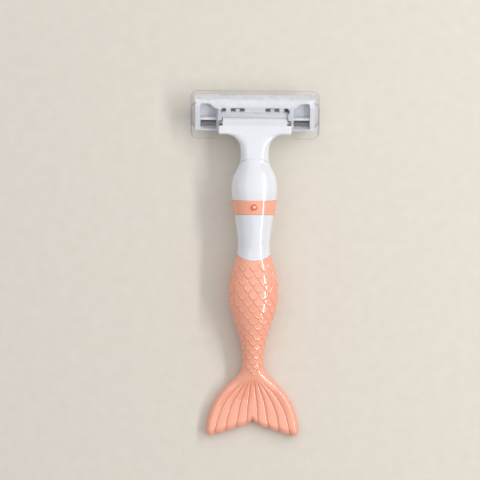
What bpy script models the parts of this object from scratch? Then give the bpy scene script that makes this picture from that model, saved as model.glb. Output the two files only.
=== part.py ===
"""A body razor with a mermaid-tail handle, a pivoting twin-blade cartridge and a clear cover.

The razor lies on a table with its blades down. X runs across it, +Y runs along the handle
towards the head, and +Z points up. The origin is the middle of its footprint on the table.
"""

import bmesh
import bpy
from math import cos, pi, radians, sin, sqrt
from mathutils import Matrix, Vector

MM = 0.001

# The whole razor, with its cover on
OVERALL_LENGTH = 122.1 * MM

# Clearances and cutters
FIT_GAP = 0.3 * MM
STACK_GAP = 0.15 * MM
SEAM_GAP = 0.12 * MM
GEM_GAP = 0.1 * MM
OVERRUN = 1.5 * MM
MERGE_DISTANCE = 0.01 * MM

# Cartridge, in its own frame: V runs towards its top edge and W out of its back
CARTRIDGE_TILT = radians(30)
CARTRIDGE_HEIGHT = 11.4 * MM
PLATFORM_THICKNESS = 3.4 * MM
END_WALL_WIDTH = 2.2 * MM
END_WALL_DEPTH = 6.7 * MM
SPINE_HEIGHT = 0.8 * MM
GUARD_BAR_HEIGHT = 1.1 * MM
GUARD_BAR_DEPTH = 5.6 * MM
HOUSING_BEVEL = 0.35 * MM

# Channel for the T-bar across the cartridge's back
CHANNEL_LENGTH = 23.2 * MM
CHANNEL_LOW = -4.13 * MM
CHANNEL_HIGH = 0.22 * MM
CHANNEL_DEPTH = 1.7 * MM
RAIL_HIGH = 2.6 * MM
RAIL_RISE = 0.5 * MM
END_BLOCK_WIDTH = 1.35 * MM
END_BLOCK_RISE = 1.3 * MM
END_BLOCK_HIGH = 3.7 * MM
PIN_SLOT_DEPTH = 0.95 * MM

# Windows for the return spring's fingers
WINDOW_OFFSET = 6.1 * MM
WINDOW_WIDTH = 4.9 * MM
WINDOW_HIGH = 3.85 * MM
WINDOW_DEPTH = 1.6 * MM
TUNNEL_ROOF = 0.12 * MM
SIDE_WINDOW_MARGIN = 0.875 * MM
SIDE_WINDOW_WIDTH = 1.8 * MM

# Rinse holes through the platform, in groups along the channel
RINSE_GROUPS = 3
RINSE_PER_GROUP = 3
RINSE_GROUP_PITCH = 5.8 * MM
RINSE_PITCH = 1.7 * MM
RINSE_HOLE_WIDTH = 1.2 * MM
RINSE_HOLE_HEIGHT = 1.0 * MM

# Recesses at the ends of the cartridge's back
RECESS_INNER_MARGIN = 0.55 * MM
RECESS_OUTER_MARGIN = 1.7 * MM
RECESS_LOW = -4.9 * MM
RECESS_HIGH_INNER = 3.0 * MM
RECESS_HIGH_OUTER = 5.0 * MM
RECESS_SLOPE_SHARE = 0.414
RECESS_DEPTH = 0.9 * MM
RECESS_SLOT_LOW = -2.9 * MM
RECESS_SLOT_HEIGHT = 0.9 * MM
RECESS_SLOT_DEPTH = 0.9 * MM

# Blade stack on the platform
BLADE_THICKNESS = 0.25 * MM
BLADE_HEIGHT = 6.2 * MM
BLADE_STAGGER = 1.4 * MM
BLADE_EDGE_BEVEL = 0.8 * MM
SPACER_THICKNESS = 0.5 * MM
SPACER_HEIGHT = 4.0 * MM
CAP_THICKNESS = 1.4 * MM
STRIP_THICKNESS = 0.5 * MM
STRIP_HEIGHT = 2.0 * MM
STRIP_PROUD = 0.25 * MM
STRIP_END_MARGIN = 1.6 * MM
RIVET_DIAMETER = 1.2 * MM
RIVET_END_MARGIN = 5.5 * MM
RIVET_CENTRE = 3.3 * MM
RIVET_SEAT = 0.5 * MM
RIVETS = 3
GUARD_FINS = 4
GUARD_BLADE_GAP = 0.54 * MM
GUARD_FIN_HEIGHT = 0.3 * MM
GUARD_BASE_DEPTH = 1.2 * MM
GUARD_FIN_RISE = 0.4 * MM

# Clear cover
COVER_LENGTH = 45.4 * MM
COVER_WALL = 0.8 * MM
COVER_SIDE_GAP = 0.9 * MM
COVER_CLEARANCE = 0.24 * MM
COVER_SKIRT = 7.9 * MM
COVER_BACK_RISE = 2.0 * MM
COVER_NOTCH_GAP = 0.35 * MM
COVER_NOTCH_TOP = 4.1 * MM
COVER_CORNER = 2.5 * MM

# Pivot, in the cartridge's frame
PIVOT_V = -1.98 * MM
PIVOT_W = 0.4 * MM
PIN_DIAMETER = 1.2 * MM
PIN_REACH = 0.5 * MM

# T-head, measured from the pivot
T_BAR_SIDE_GAP = 0.25 * MM
T_BAR_RADIUS = 1.62 * MM
T_BAR_RISE = 2.2 * MM
T_BEVEL_START = 0.9 * MM
T_BEVEL_DROP = 0.3 * MM
T_BEVEL_RUN = 0.72 * MM
WING_OVERHANG = 1.5 * MM
WING_NEAR = 1.1 * MM
WING_FAR = 4.2 * MM
WING_LOW = 0.85 * MM
WING_THICKNESS = 1.9 * MM
WING_BEVEL = 0.45 * MM
NECK_REACH = 14.1 * MM
NECK_RISE = 1.2 * MM
STEM_WIDTH = 5.6 * MM
STEM_DEPTH = 3.4 * MM
STEM_LENGTH = 8 * MM
SPRING_THICKNESS = 0.5 * MM
SPRING_BAR_LENGTH = 16 * MM
SPRING_BAR_HEIGHT = 0.55 * MM
SPRING_BAR_V = -1.03 * MM
SPRING_BAR_W = -0.9 * MM
SPRING_FINGER_WIDTH = 1.7 * MM
SPRING_TIP_WIDTH = 2.3 * MM
SPRING_TIP_V = 3.2 * MM

# Sculpted handle
HIP_WIDTH = 16.9 * MM
BELLY_DEPTH = 13 * MM
CREASE_DOME = 1.4 * MM
BOUNDARY_AT_SHARE = 0.330
BOUNDARY_DIP = 2.7 * MM
BOUNDARY_POWER = 0.75
TENON_WIDTH = 6.0 * MM
TENON_DEPTH = 4.4 * MM
TENON_LENGTH = 10 * MM
FIN_MIDDLE = 2.1 * MM
FIN_WIDTH = 32.9 * MM
FIN_START_SHARE = 0.756
FIN_RISE = 2.3 * MM

# Belt and its jewel
BELT_TOP_SHARE = 0.137
BELT_HEIGHT = 5.1 * MM
BELT_THICKNESS = 1.0 * MM
BELT_PROUD = 0.2 * MM
GEM_RING_DIAMETER = 2.15 * MM
GEM_RING_RISE = 0.55 * MM
GEM_BEAD_DIAMETER = 1.1 * MM
GEM_STEM_DIAMETER = 1.3 * MM
GEM_STEM_LENGTH = 0.7 * MM
GEM_FLOOR = 0.2 * MM

# Scales on the tail's front
SCALE_ROWS = 18
SCALE_WIDE = 3.77 * MM
SCALE_NARROW = 2.3 * MM
SCALE_RELIEF = 0.5 * MM
SCALE_U_SHARE = 0.85
SCALE_OVERLAP = 1.7

# How finely the handle is divided
COLUMNS = 36
COLUMNS_PER_LOBE = 4
TORSO_RINGS = 18
TAIL_BACK_RINGS = 12
RINGS_PER_SCALE = 3
FIN_RINGS = 12
ROUND_SEGMENTS = 20
HEAD_RINGS = 18
HEAD_POINTS = 24
SHARP_ANGLE = radians(35)

# Half width, as a share of the hips, at shares of the grip's length from the neck's crease
WIDTH_SHARES = (
    (0.000, 0.615),
    (0.015, 0.692),
    (0.037, 0.823),
    (0.059, 0.912),
    (0.081, 0.950),
    (0.103, 0.958),
    (0.139, 0.915),
    (0.190, 0.824),
    (0.245, 0.727),
    (0.289, 0.671),
    (0.311, 0.671),
    (0.340, 0.717),
    (0.369, 0.806),
    (0.428, 0.958),
    (0.475, 1.000),
    (0.530, 0.929),
    (0.588, 0.733),
    (0.618, 0.629),
    (0.654, 0.517),
    (0.690, 0.448),
    (0.719, 0.437),
    (0.756, 0.505),
)

# Rows of scales as a share of all of them, at the same kind of places
SCALE_ROW_SHARES = (
    (0.371, 0.000),
    (0.450, 0.167),
    (0.526, 0.333),
    (0.592, 0.500),
    (0.650, 0.667),
    (0.702, 0.833),
    (0.756, 1.000),
)

# Half depth, as a share of the belly, at the same kind of places
DEPTH_SHARES = (
    (0.000, 0.50),
    (0.036, 0.78),
    (0.070, 0.94),
    (0.130, 1.00),
    (0.190, 0.92),
    (0.317, 0.77),
    (0.377, 0.84),
    (0.478, 0.92),
    (0.566, 0.85),
    (0.683, 0.61),
    (0.756, 0.48),
    (0.850, 0.34),
)

# Height of the middle plane, from the fin's middle (0) to the neck's middle (1)
RISE_SHARES = (
    (0.00, 1.00),
    (0.15, 0.99),
    (0.35, 0.88),
    (0.50, 0.70),
    (0.65, 0.44),
    (0.75, 0.24),
    (0.85, 0.05),
    (0.92, 0.00),
    (1.00, 0.00),
)

# Neck's half width as a share of its narrow part, from the wings to the crease
NECK_SHARES = (
    (0.00, 1.95),
    (0.14, 1.90),
    (0.18, 1.58),
    (0.25, 1.36),
    (0.33, 1.21),
    (0.42, 1.10),
    (0.54, 1.03),
    (0.67, 1.00),
    (1.00, 1.02),
)
NECK_WIDTH = 9.86 * MM
NECK_DEPTH = 5.8 * MM
NECK_POWER = 0.75

# Fin's edge and its four grooves a side: where each ends, as a share of the fin's length,
# and its place across, as a share of the half width, at shares of the fin's length
FIN_EDGE_SHARES = (
    (0.00, 0.259), (0.06, 0.304), (0.15, 0.418), (0.27, 0.590), (0.39, 0.735),
    (0.51, 0.842), (0.69, 0.942), (0.87, 0.993), (1.00, 0.905),
)
FIN_GROOVE_SHARES = (
    (0.959, ((0.00, 0.070), (0.10, 0.115), (0.19, 0.213), (0.353, 0.445),
             (0.523, 0.616), (0.72, 0.730), (0.959, 0.813))),
    (0.914, ((0.00, 0.045), (0.10, 0.075), (0.19, 0.146), (0.353, 0.302),
             (0.523, 0.439), (0.70, 0.524), (0.914, 0.578))),
    (0.862, ((0.00, 0.030), (0.10, 0.050), (0.19, 0.095), (0.353, 0.186),
             (0.523, 0.260), (0.70, 0.306), (0.862, 0.349))),
    (0.814, ((0.00, 0.012), (0.10, 0.020), (0.19, 0.038), (0.353, 0.066),
             (0.523, 0.095), (0.70, 0.112), (0.814, 0.122))),
)
FIN_NOTCH_SHARE = 0.750
LOBE_BULGE_SHARE = 0.028
GROOVE_LEVEL_SHARE = 0.66
FIN_BLEND_SHARE = 0.19
GROOVE_START_SHARE = 0.13
GROOVE_FULL_SHARE = 0.36
FIN_ROUNDING_SHARE = 0.12
FIN_RIM_SHARE = 0.2
LAND_EDGE_SHARE = 1 / 3

# Places that follow from the sizes
CARTRIDGE_LENGTH = COVER_LENGTH - 2 * (COVER_WALL + COVER_SIDE_GAP)
COVER_TOP = CARTRIDGE_HEIGHT / 2 + COVER_CLEARANCE + COVER_WALL
COVER_FACE_DEPTH = END_WALL_DEPTH + COVER_CLEARANCE + COVER_WALL
BLADE_TOP = CARTRIDGE_HEIGHT / 2 - SPINE_HEIGHT - FIT_GAP
CAP_HEIGHT = BLADE_HEIGHT - 2 * BLADE_STAGGER
T_BAR_LENGTH = CHANNEL_LENGTH - 2 * T_BAR_SIDE_GAP
PIN_LENGTH = CHANNEL_LENGTH + 2 * PIN_REACH
WING_LENGTH = T_BAR_LENGTH + 2 * WING_OVERHANG
COVER_NOTCH_HALF = WING_LENGTH / 2 + COVER_NOTCH_GAP
SIDE_WINDOW_OFFSET = CHANNEL_LENGTH / 2 - SIDE_WINDOW_MARGIN - SIDE_WINDOW_WIDTH / 2
RECESS_INNER = CHANNEL_LENGTH / 2 + END_BLOCK_WIDTH + RECESS_INNER_MARGIN
RECESS_OUTER = CARTRIDGE_LENGTH / 2 - RECESS_OUTER_MARGIN
TILT_SIN = sin(CARTRIDGE_TILT)
TILT_COS = cos(CARTRIDGE_TILT)
BACK_Y = OVERALL_LENGTH / 2 - (COVER_TOP * TILT_COS + COVER_FACE_DEPTH * TILT_SIN)
BACK_Z = COVER_SKIRT * TILT_SIN + COVER_FACE_DEPTH * TILT_COS
PIVOT_Y = BACK_Y + PIVOT_V * TILT_COS - PIVOT_W * TILT_SIN
PIVOT_Z = BACK_Z + PIVOT_V * TILT_SIN + PIVOT_W * TILT_COS
CREASE_Y = PIVOT_Y - NECK_REACH
NECK_Z = PIVOT_Z + NECK_RISE
GRIP_LENGTH = CREASE_Y + OVERALL_LENGTH / 2
FIN_LENGTH = GRIP_LENGTH * (1 - FIN_START_SHARE)
FIN_START_Y = CREASE_Y - GRIP_LENGTH * FIN_START_SHARE
BOUNDARY_Y = CREASE_Y - GRIP_LENGTH * BOUNDARY_AT_SHARE
TENON_END_Y = BOUNDARY_Y - BOUNDARY_DIP - TENON_LENGTH
BELT_TOP_Y = CREASE_Y - GRIP_LENGTH * BELT_TOP_SHARE
BELT_MIDDLE_Y = BELT_TOP_Y - BELT_HEIGHT / 2

SCALE_PLACE_SHARES = tuple((row, place) for place, row in SCALE_ROW_SHARES)

WHITE = (0.83, 0.84, 0.88, 1)
CORAL = (0.98, 0.42, 0.28, 1)
PALE_CORAL = (0.99, 0.80, 0.72, 1)
ORANGE = (0.95, 0.12, 0.01, 1)
STEEL = (0.62, 0.63, 0.65, 1)
RUBBER = (0.55, 0.56, 0.58, 1)
CLEAR = (0.80, 0.90, 0.98, 1)
STRIP = (0.70, 0.82, 0.78, 1)


# Scene

def clear_scene():
    for item in list(bpy.data.objects):
        bpy.data.objects.remove(item, do_unlink=True)


def new_collection(name):
    group = bpy.data.collections.new(name)
    bpy.context.scene.collection.children.link(group)
    return group


clear_scene()
PARTS = new_collection("body_razor")
CUTTERS = new_collection("cutters")


def material(name, colour, roughness, metallic=0, transmission=0):
    made = bpy.data.materials.new(name)
    made.use_nodes = True
    shader = made.node_tree.nodes["Principled BSDF"]
    shader.inputs["Base Color"].default_value = colour
    shader.inputs["Roughness"].default_value = roughness
    shader.inputs["Metallic"].default_value = metallic
    shader.inputs["Transmission Weight"].default_value = transmission
    return made


def place(name, bm, group, frame=None):
    """The bmesh as an object in a collection, hung on a frame if one is given."""
    bmesh.ops.recalc_face_normals(bm, faces=bm.faces)
    data = bpy.data.meshes.new(name)
    bm.to_mesh(data)
    bm.free()
    item = bpy.data.objects.new(name, data)
    group.objects.link(item)
    item.parent = frame
    return item


def part(name, bm, look, frame=None):
    item = place(name, bm, PARTS, frame)
    item.data.materials.append(look)
    item.data.shade_smooth()
    item.data.set_sharp_from_angle(angle=SHARP_ANGLE)
    return item


def cutter(name, bm, frame=None):
    item = place(name, bm, CUTTERS, frame)
    item.hide_render = True
    item.display_type = "WIRE"
    return item


def boolean(item, other, operation):
    change = item.modifiers.new(f"{operation.lower()}_{other.name}", "BOOLEAN")
    change.operation = operation
    change.solver = "EXACT"
    change.object = other


def cut(item, *others):
    for other in others:
        boolean(item, other, "DIFFERENCE")


def join(item, *others):
    for other in others:
        boolean(item, other, "UNION")


# Shapes

def add_box(bm, low, high):
    middle = (Vector(low) + Vector(high)) / 2
    size = Vector(high) - Vector(low)
    bmesh.ops.create_cube(bm, size=1, matrix=Matrix.Translation(middle) @ Matrix.Diagonal((*size, 1)))


def box(low, high):
    bm = bmesh.new()
    add_box(bm, low, high)
    return bm


def rod(radius, low, high, axis, across=(0, 0)):
    """A cylinder from low to high along an axis, at a place across it."""
    bm = bmesh.new()
    add_rod(bm, radius, low, high, axis, across)
    return bm


def add_rod(bm, radius, low, high, axis, across=(0, 0)):
    middle = (low + high) / 2
    if axis == "X":
        turn = Matrix.Rotation(pi / 2, 4, "Y")
        centre = (middle, *across)
    else:
        turn = Matrix.Identity(4)
        centre = (*across, middle)
    bmesh.ops.create_cone(
        bm, cap_ends=True, segments=ROUND_SEGMENTS, radius1=radius, radius2=radius,
        depth=high - low, matrix=Matrix.Translation(centre) @ turn,
    )


def prism(outline, low, high, across="X"):
    """A flat outline drawn out along X, its points in the plane across it, or along Z."""
    bm = bmesh.new()
    if across == "X":
        ends = [[bm.verts.new((end, *point)) for point in outline] for end in (low, high)]
    else:
        ends = [[bm.verts.new((*point, end)) for point in outline] for end in (low, high)]
    for end in ends:
        bm.faces.new(end)
    count = len(outline)
    for index in range(count):
        after = (index + 1) % count
        bm.faces.new((ends[0][index], ends[0][after], ends[1][after], ends[1][index]))
    return bm


def loft(rings, closed=False):
    """A skin over rings of points; the ends are capped unless the rings run round."""
    bm = bmesh.new()
    rows = [[bm.verts.new(point) for point in ring] for ring in rings]
    count = len(rows[0])
    pairs = list(zip(rows, rows[1:]))
    if closed:
        pairs.append((rows[-1], rows[0]))
    for first, second in pairs:
        for index in range(count):
            after = (index + 1) % count
            bm.faces.new((first[index], first[after], second[after], second[index]))
    if not closed:
        bm.faces.new(rows[0])
        bm.faces.new(rows[-1])
    return bm


def curve_value(table, at):
    """A smooth curve through a table's points, with level ends past them."""
    if at <= table[0][0]:
        return table[0][1]
    if at >= table[-1][0]:
        return table[-1][1]
    last = len(table) - 1
    index = next(i for i in range(last) if at <= table[i + 1][0])
    (x0, y0), (x1, y1) = table[index], table[index + 1]
    span = x1 - x0
    slope = (y1 - y0) / span
    before = slope if index == 0 else (y1 - table[index - 1][1]) / (x1 - table[index - 1][0])
    after = slope if index + 1 == last else (table[index + 2][1] - y0) / (table[index + 2][0] - x0)
    t = (at - x0) / span
    return (
        y0 * (1 + 2 * t) * (1 - t) ** 2 + before * span * t * (1 - t) ** 2
        + y1 * t * t * (3 - 2 * t) + after * span * t * t * (t - 1)
    )


def smooth_step(low, high, value):
    t = min(1, max(0, (value - low) / (high - low)))
    return t * t * (3 - 2 * t)


def mix(first, second, share):
    return first + (second - first) * share


# The handle's form

def along(y):
    """The place along the grip as a share, from the neck's crease to the fin's tips."""
    return (CREASE_Y - y) / GRIP_LENGTH


def half_width(y):
    if y < FIN_START_Y:
        return FIN_WIDTH / 2 * curve_value(FIN_EDGE_SHARES, (FIN_START_Y - y) / FIN_LENGTH)
    return HIP_WIDTH / 2 * curve_value(WIDTH_SHARES, along(y))


def half_depth(y):
    return BELLY_DEPTH / 2 * curve_value(DEPTH_SHARES, along(y))


def middle_height(y):
    return mix(FIN_MIDDLE, NECK_Z, curve_value(RISE_SHARES, along(y)))


def crease(across):
    """Where the torso's dome begins, at a share of the half width."""
    return CREASE_Y + CREASE_DOME * (1 - across * across)


def boundary(across):
    """The line between the white torso and the coral tail, which dips in the middle."""
    return BOUNDARY_Y - BOUNDARY_DIP * max(0, 1 - across * across) ** BOUNDARY_POWER


def scale_width(y):
    wide = smooth_step(curve_value(WIDTH_SHARES, FIN_START_SHARE), 1, 2 * half_width(y) / HIP_WIDTH)
    return mix(SCALE_NARROW, SCALE_WIDE, wide)


def scale_relief(x, y):
    """Height of the overlapping scales, whose lower edges are U-shaped and stand proud."""
    row = SCALE_ROWS * curve_value(SCALE_ROW_SHARES, along(y))
    if row <= 0:
        return SCALE_RELIEF
    end_fade = 1 - smooth_step(SCALE_ROWS - 1, SCALE_ROWS, row + abs(x) / scale_width(y))
    for index in (int(row) - 1, int(row), int(row) + 1):
        if index < 0:
            continue
        offset = x / scale_width(y) + index % 2 / 2
        offset -= round(offset)
        edge = index + 1 - SCALE_U_SHARE * (2 * offset) ** 2
        if row <= edge:
            height = 1 - (edge - row) / SCALE_OVERLAP
            return SCALE_RELIEF * max(height, 1 - row) * end_fade
    return 0


def column_angle(index):
    return pi * index / COLUMNS


def tail_arc(y_at, side, relief):
    """The tail's outer arc at one ring, from +X over the side to -X."""
    points = []
    for index in range(COLUMNS + 1):
        angle = column_angle(index)
        y = y_at(cos(angle))
        width = half_width(y)
        bump = relief(width * (pi / 2 - angle), y) * sin(angle) if relief else 0
        x = (width + bump) * cos(angle) if index not in (0, COLUMNS) else width * cos(angle)
        z = (half_depth(y) + bump) * sin(angle)
        points.append(Vector((x, y, middle_height(y) + side * (SEAM_GAP / 2 + z))))
    return points


def fin_spoke(lobe):
    """End share and table of the line between two lobes, counted from the edge."""
    if lobe == 0:
        return 1, FIN_EDGE_SHARES
    return FIN_GROOVE_SHARES[lobe - 1]


def fin_point(index, run):
    """The fin's plan at a column and a run from 0 at its start to 1 at its rim."""
    sign = 1 if index <= COLUMNS / 2 else -1
    column = min(index, COLUMNS - index)
    lobe = column // COLUMNS_PER_LOBE
    share = column / COLUMNS_PER_LOBE - lobe
    end, table = fin_spoke(lobe)
    x = curve_value(table, end * run)
    if lobe < len(FIN_GROOVE_SHARES):
        next_end, next_table = fin_spoke(lobe + 1)
        next_x = curve_value(next_table, next_end * run)
        bulge = LOBE_BULGE_SHARE * 4 * share * (1 - share)
    else:
        share *= 2
        next_end = FIN_NOTCH_SHARE
        next_x = 0
        bulge = LOBE_BULGE_SHARE * share * (1 - share)
    x = mix(x, next_x, share) * sign
    length = mix(end, next_end, share) + bulge
    return x * FIN_WIDTH / 2, FIN_START_Y - FIN_LENGTH * min(1, length) * run


def lobe_profile(index):
    """Height across the fin's front: round rolls with grooves between them."""
    column = min(index, COLUMNS - index)
    lobe = column // COLUMNS_PER_LOBE
    share = column / COLUMNS_PER_LOBE - lobe
    if lobe == len(FIN_GROOVE_SHARES):
        return mix(GROOVE_LEVEL_SHARE, 1, sqrt(1 - (1 - share * 2) ** 2))
    crown = sqrt(1 - (2 * share - 1) ** 2)
    low = mix(0, GROOVE_LEVEL_SHARE, smooth_step(0, 1, share)) if lobe == 0 else GROOVE_LEVEL_SHARE
    return mix(low, 1, crown)


def flat_profile(index):
    """Height across the fin's back: flat, with a rounded edge."""
    return min(1, sin(column_angle(index)) / LAND_EDGE_SHARE)


def fin_arc(run, side):
    """The fin's arc at a run along it: ribbed rolls in front, a flat land on the table behind."""
    points = []
    profile = lobe_profile if side > 0 else flat_profile
    spread = smooth_step(0, FIN_BLEND_SHARE, run)
    blend = smooth_step(GROOVE_START_SHARE, GROOVE_FULL_SHARE, run)
    rounding = max(0, run - (1 - FIN_ROUNDING_SHARE)) / FIN_ROUNDING_SHARE
    for index in range(COLUMNS + 1):
        angle = column_angle(index)
        fin_x, y = fin_point(index, run)
        x = mix(half_width(y) * cos(angle), fin_x, spread)
        body_z = half_depth(y) * sqrt(max(0, 1 - (x / half_width(y)) ** 2))
        rise = FIN_RISE if side > 0 else middle_height(y) - SEAM_GAP / 2
        fin_z = rise * profile(index) * mix(FIN_RIM_SHARE, 1, sqrt(1 - rounding ** 2))
        z = mix(body_z, fin_z, blend)
        height = middle_height(y) + side * (SEAM_GAP / 2 + z)
        points.append(Vector((x, y, max(0, height))))
    return points


def fin_run(share):
    """Runs along the fin, close together where its rim is rounded."""
    flat = 1 - FIN_ROUNDING_SHARE
    if share <= 2 / 3:
        return flat * share * 3 / 2
    return flat + FIN_ROUNDING_SHARE * sin(pi / 2 * (share * 3 - 2))


def half_loft(arcs, side):
    """A closed half shell over arcs, with a flat-sided parting face under them."""
    bm = bmesh.new()
    knots = range(0, COLUMNS + 1, COLUMNS_PER_LOBE)
    rows = []
    for arc in arcs:
        row = [bm.verts.new(point) for point in arc]
        floor = [row[0]]
        for knot in knots[1:-1]:
            x, y, _ = arc[knot]
            floor.append(bm.verts.new((x, y, middle_height(y) + side * SEAM_GAP / 2)))
        floor.append(row[-1])
        rows.append((row, floor))
    for (row, floor), (next_row, next_floor) in zip(rows, rows[1:]):
        for index in range(COLUMNS):
            bm.faces.new((row[index], row[index + 1], next_row[index + 1], next_row[index]))
        for index in range(len(floor) - 1):
            bm.faces.new((floor[index + 1], floor[index], next_floor[index], next_floor[index + 1]))
    for row, floor in (rows[0], rows[-1]):
        for index in range(len(floor) - 1):
            start = index * COLUMNS_PER_LOBE
            stretch = row[start:start + COLUMNS_PER_LOBE + 1]
            bottom = [item for item in (floor[index + 1], floor[index]) if item not in stretch]
            bm.faces.new(stretch + bottom)
    return bm


def section_ring(y_at, width, depth, points=HEAD_POINTS, power=1):
    """A closed oval ring across the handle, sized by functions of its place along."""
    ring = []
    for index in range(points):
        angle = 2 * pi * index / points
        across = cos(angle)
        y = y_at(across)
        x = width(y) * abs(across) ** power * (1 if across >= 0 else -1)
        up = abs(sin(angle)) ** power * (1 if sin(angle) >= 0 else -1)
        ring.append(Vector((x, y, middle_height(y) + depth(y) * up)))
    return ring


def level(y):
    """A ring's place along that is the same all the way across."""
    return lambda across: y


# Handle

WHITE_PLASTIC = material("white_plastic", WHITE, 0.25)
CORAL_PLASTIC = material("coral_plastic", CORAL, 0.32)


def torso_half(name, side):
    arcs = [tail_arc(lambda across: crease(across) - SEAM_GAP / 2, side, None)]
    top = CREASE_Y - CREASE_DOME
    bottom = BOUNDARY_Y + BOUNDARY_DIP
    for ring in range(TORSO_RINGS + 1):
        arcs.append(tail_arc(level(mix(top, bottom, ring / TORSO_RINGS)), side, None))
    arcs.append(tail_arc(lambda across: boundary(across) + BOUNDARY_DIP / 2, side, None))
    arcs.append(tail_arc(lambda across: boundary(across) + SEAM_GAP, side, None))
    root_share = TENON_WIDTH / 2 / half_width(BOUNDARY_Y)
    for y_at in (lambda across: boundary(across * root_share) + SEAM_GAP, level(TENON_END_Y)):
        arc = []
        for index in range(COLUMNS + 1):
            angle = column_angle(index)
            y = y_at(cos(angle))
            z = middle_height(y) + side * (SEAM_GAP + (TENON_DEPTH - SEAM_GAP) * sin(angle)) / 2
            arc.append(Vector((TENON_WIDTH / 2 * cos(angle), y, z)))
        arcs.append(arc)
    return part(name, half_loft(arcs, side), WHITE_PLASTIC)


def tail_half(name, side, relief, rings, fin_rings):
    arcs = [tail_arc(boundary, side, relief)]
    top = BOUNDARY_Y - BOUNDARY_DIP - SEAM_GAP
    places = [curve_value(SCALE_PLACE_SHARES, ring / rings) for ring in range(rings + 1)]
    for y in [top] + [CREASE_Y - GRIP_LENGTH * place for place in places]:
        arcs.append(tail_arc(level(y), side, relief))
    for ring in range(1, fin_rings + 1):
        arcs.append(fin_arc(fin_run(ring / fin_rings), side))
    return part(name, half_loft(arcs, side), CORAL_PLASTIC)


def oval(width, depth, gap=0):
    return (lambda y: width / 2 + gap), (lambda y: depth / 2 + gap)


def make_handle():
    torso_front = torso_half("torso_front", 1)
    torso_back = torso_half("torso_back", -1)
    tail_front = tail_half("tail_front", 1, scale_relief, SCALE_ROWS * RINGS_PER_SCALE, FIN_RINGS)
    tail_back = tail_half("tail_back", -1, None, TAIL_BACK_RINGS, FIN_RINGS // 2)
    tenon_rings = [
        section_ring(level(y), *oval(TENON_WIDTH, TENON_DEPTH, FIT_GAP))
        for y in (BOUNDARY_Y + OVERRUN, mix(BOUNDARY_Y, TENON_END_Y, 1 / 2), TENON_END_Y - FIT_GAP)
    ]
    socket = cutter("tenon_socket", loft(tenon_rings))
    cut(tail_front, socket)
    cut(tail_back, socket)
    stem_end = CREASE_Y - STEM_LENGTH
    stem_rings = [
        section_ring(level(y), *oval(STEM_WIDTH, STEM_DEPTH, FIT_GAP))
        for y in (CREASE_Y + CREASE_DOME + OVERRUN, stem_end - FIT_GAP)
    ]
    stem_socket = cutter("stem_socket", loft(stem_rings))
    cut(torso_front, stem_socket)
    cut(torso_back, stem_socket)
    make_belt((torso_front, torso_back))
    make_head()


def make_belt(torso):
    """The coral band in its groove round the torso, with the jewel in its middle."""
    outer = BELT_PROUD
    inner = BELT_PROUD - BELT_THICKNESS
    top, bottom = BELT_TOP_Y, BELT_TOP_Y - BELT_HEIGHT

    def skin(y, offset):
        return section_ring(
            level(y), lambda at: half_width(at) + offset, lambda at: half_depth(at) + SEAM_GAP / 2 + offset, COLUMNS
        )

    rows = (top, mix(top, bottom, 1 / 3), mix(top, bottom, 2 / 3), bottom)
    band = [skin(y, outer) for y in rows] + [skin(y, inner) for y in reversed(rows)]
    belt = part("belt_band", loft(band, closed=True), CORAL_PLASTIC)
    far = [skin(y, OVERRUN) for y in (top + FIT_GAP, bottom - FIT_GAP)]
    near = [skin(y, inner - FIT_GAP) for y in (bottom - FIT_GAP, top + FIT_GAP)]
    groove = cutter("belt_groove", loft(far + near, closed=True))
    for half in torso:
        cut(half, groove)
    surface = middle_height(BELT_MIDDLE_Y) + half_depth(BELT_MIDDLE_Y) + SEAM_GAP / 2 + BELT_PROUD
    hole = rod(
        GEM_STEM_DIAMETER / 2 + GEM_GAP, surface - BELT_THICKNESS - OVERRUN, surface + OVERRUN, "Z",
        (0, BELT_MIDDLE_Y),
    )
    cut(belt, cutter("gem_hole", hole))
    make_gem(surface + GEM_GAP)


def turned(name, profile, height, look):
    """A turned piece: a profile of radius and height, top to bottom, spun about Z."""
    bm = bmesh.new()
    points = [bm.verts.new((radius, 0, z)) for radius, z in profile]
    for first, second in zip(points, points[1:]):
        bm.edges.new((first, second))
    item = place(name, bm, PARTS)
    item.data.materials.append(look)
    item.location = (0, BELT_MIDDLE_Y, height)
    screw = item.modifiers.new("turn", "SCREW")
    screw.steps = ROUND_SEGMENTS
    screw.render_steps = ROUND_SEGMENTS
    screw.use_merge_vertices = True
    screw.merge_threshold = MERGE_DISTANCE
    screw.use_smooth_shade = True
    return item


def make_gem(seat):
    outer = GEM_RING_DIAMETER / 2
    inner = GEM_BEAD_DIAMETER / 2 + GEM_GAP
    crest = mix(inner, outer, 1 / 2)
    stem = GEM_STEM_DIAMETER / 2
    ring = (
        (0, GEM_FLOOR),
        (inner, GEM_FLOOR),
        (inner, GEM_RING_RISE * 2 / 3),
        (crest, GEM_RING_RISE),
        (outer, GEM_RING_RISE / 2),
        (outer, 0),
        (stem, 0),
        (stem, -GEM_STEM_LENGTH),
        (0, -GEM_STEM_LENGTH),
    )
    turned("gem_setting", ring, seat, material("orange_enamel", ORANGE, 0.2))
    radius = GEM_BEAD_DIAMETER / 2
    low = GEM_FLOOR + GEM_GAP
    middle = low + radius * 2 / 3
    bead = [(radius * sin(turn), middle + radius * 2 / 3 * cos(turn)) for turn in (pi * n / 8 for n in range(9))]
    bead[0] = (0, bead[0][1])
    bead[-1] = (0, bead[-1][1])
    turned("gem_bead", bead, seat, material("pale_bead", PALE_CORAL, 0.15))


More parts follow.
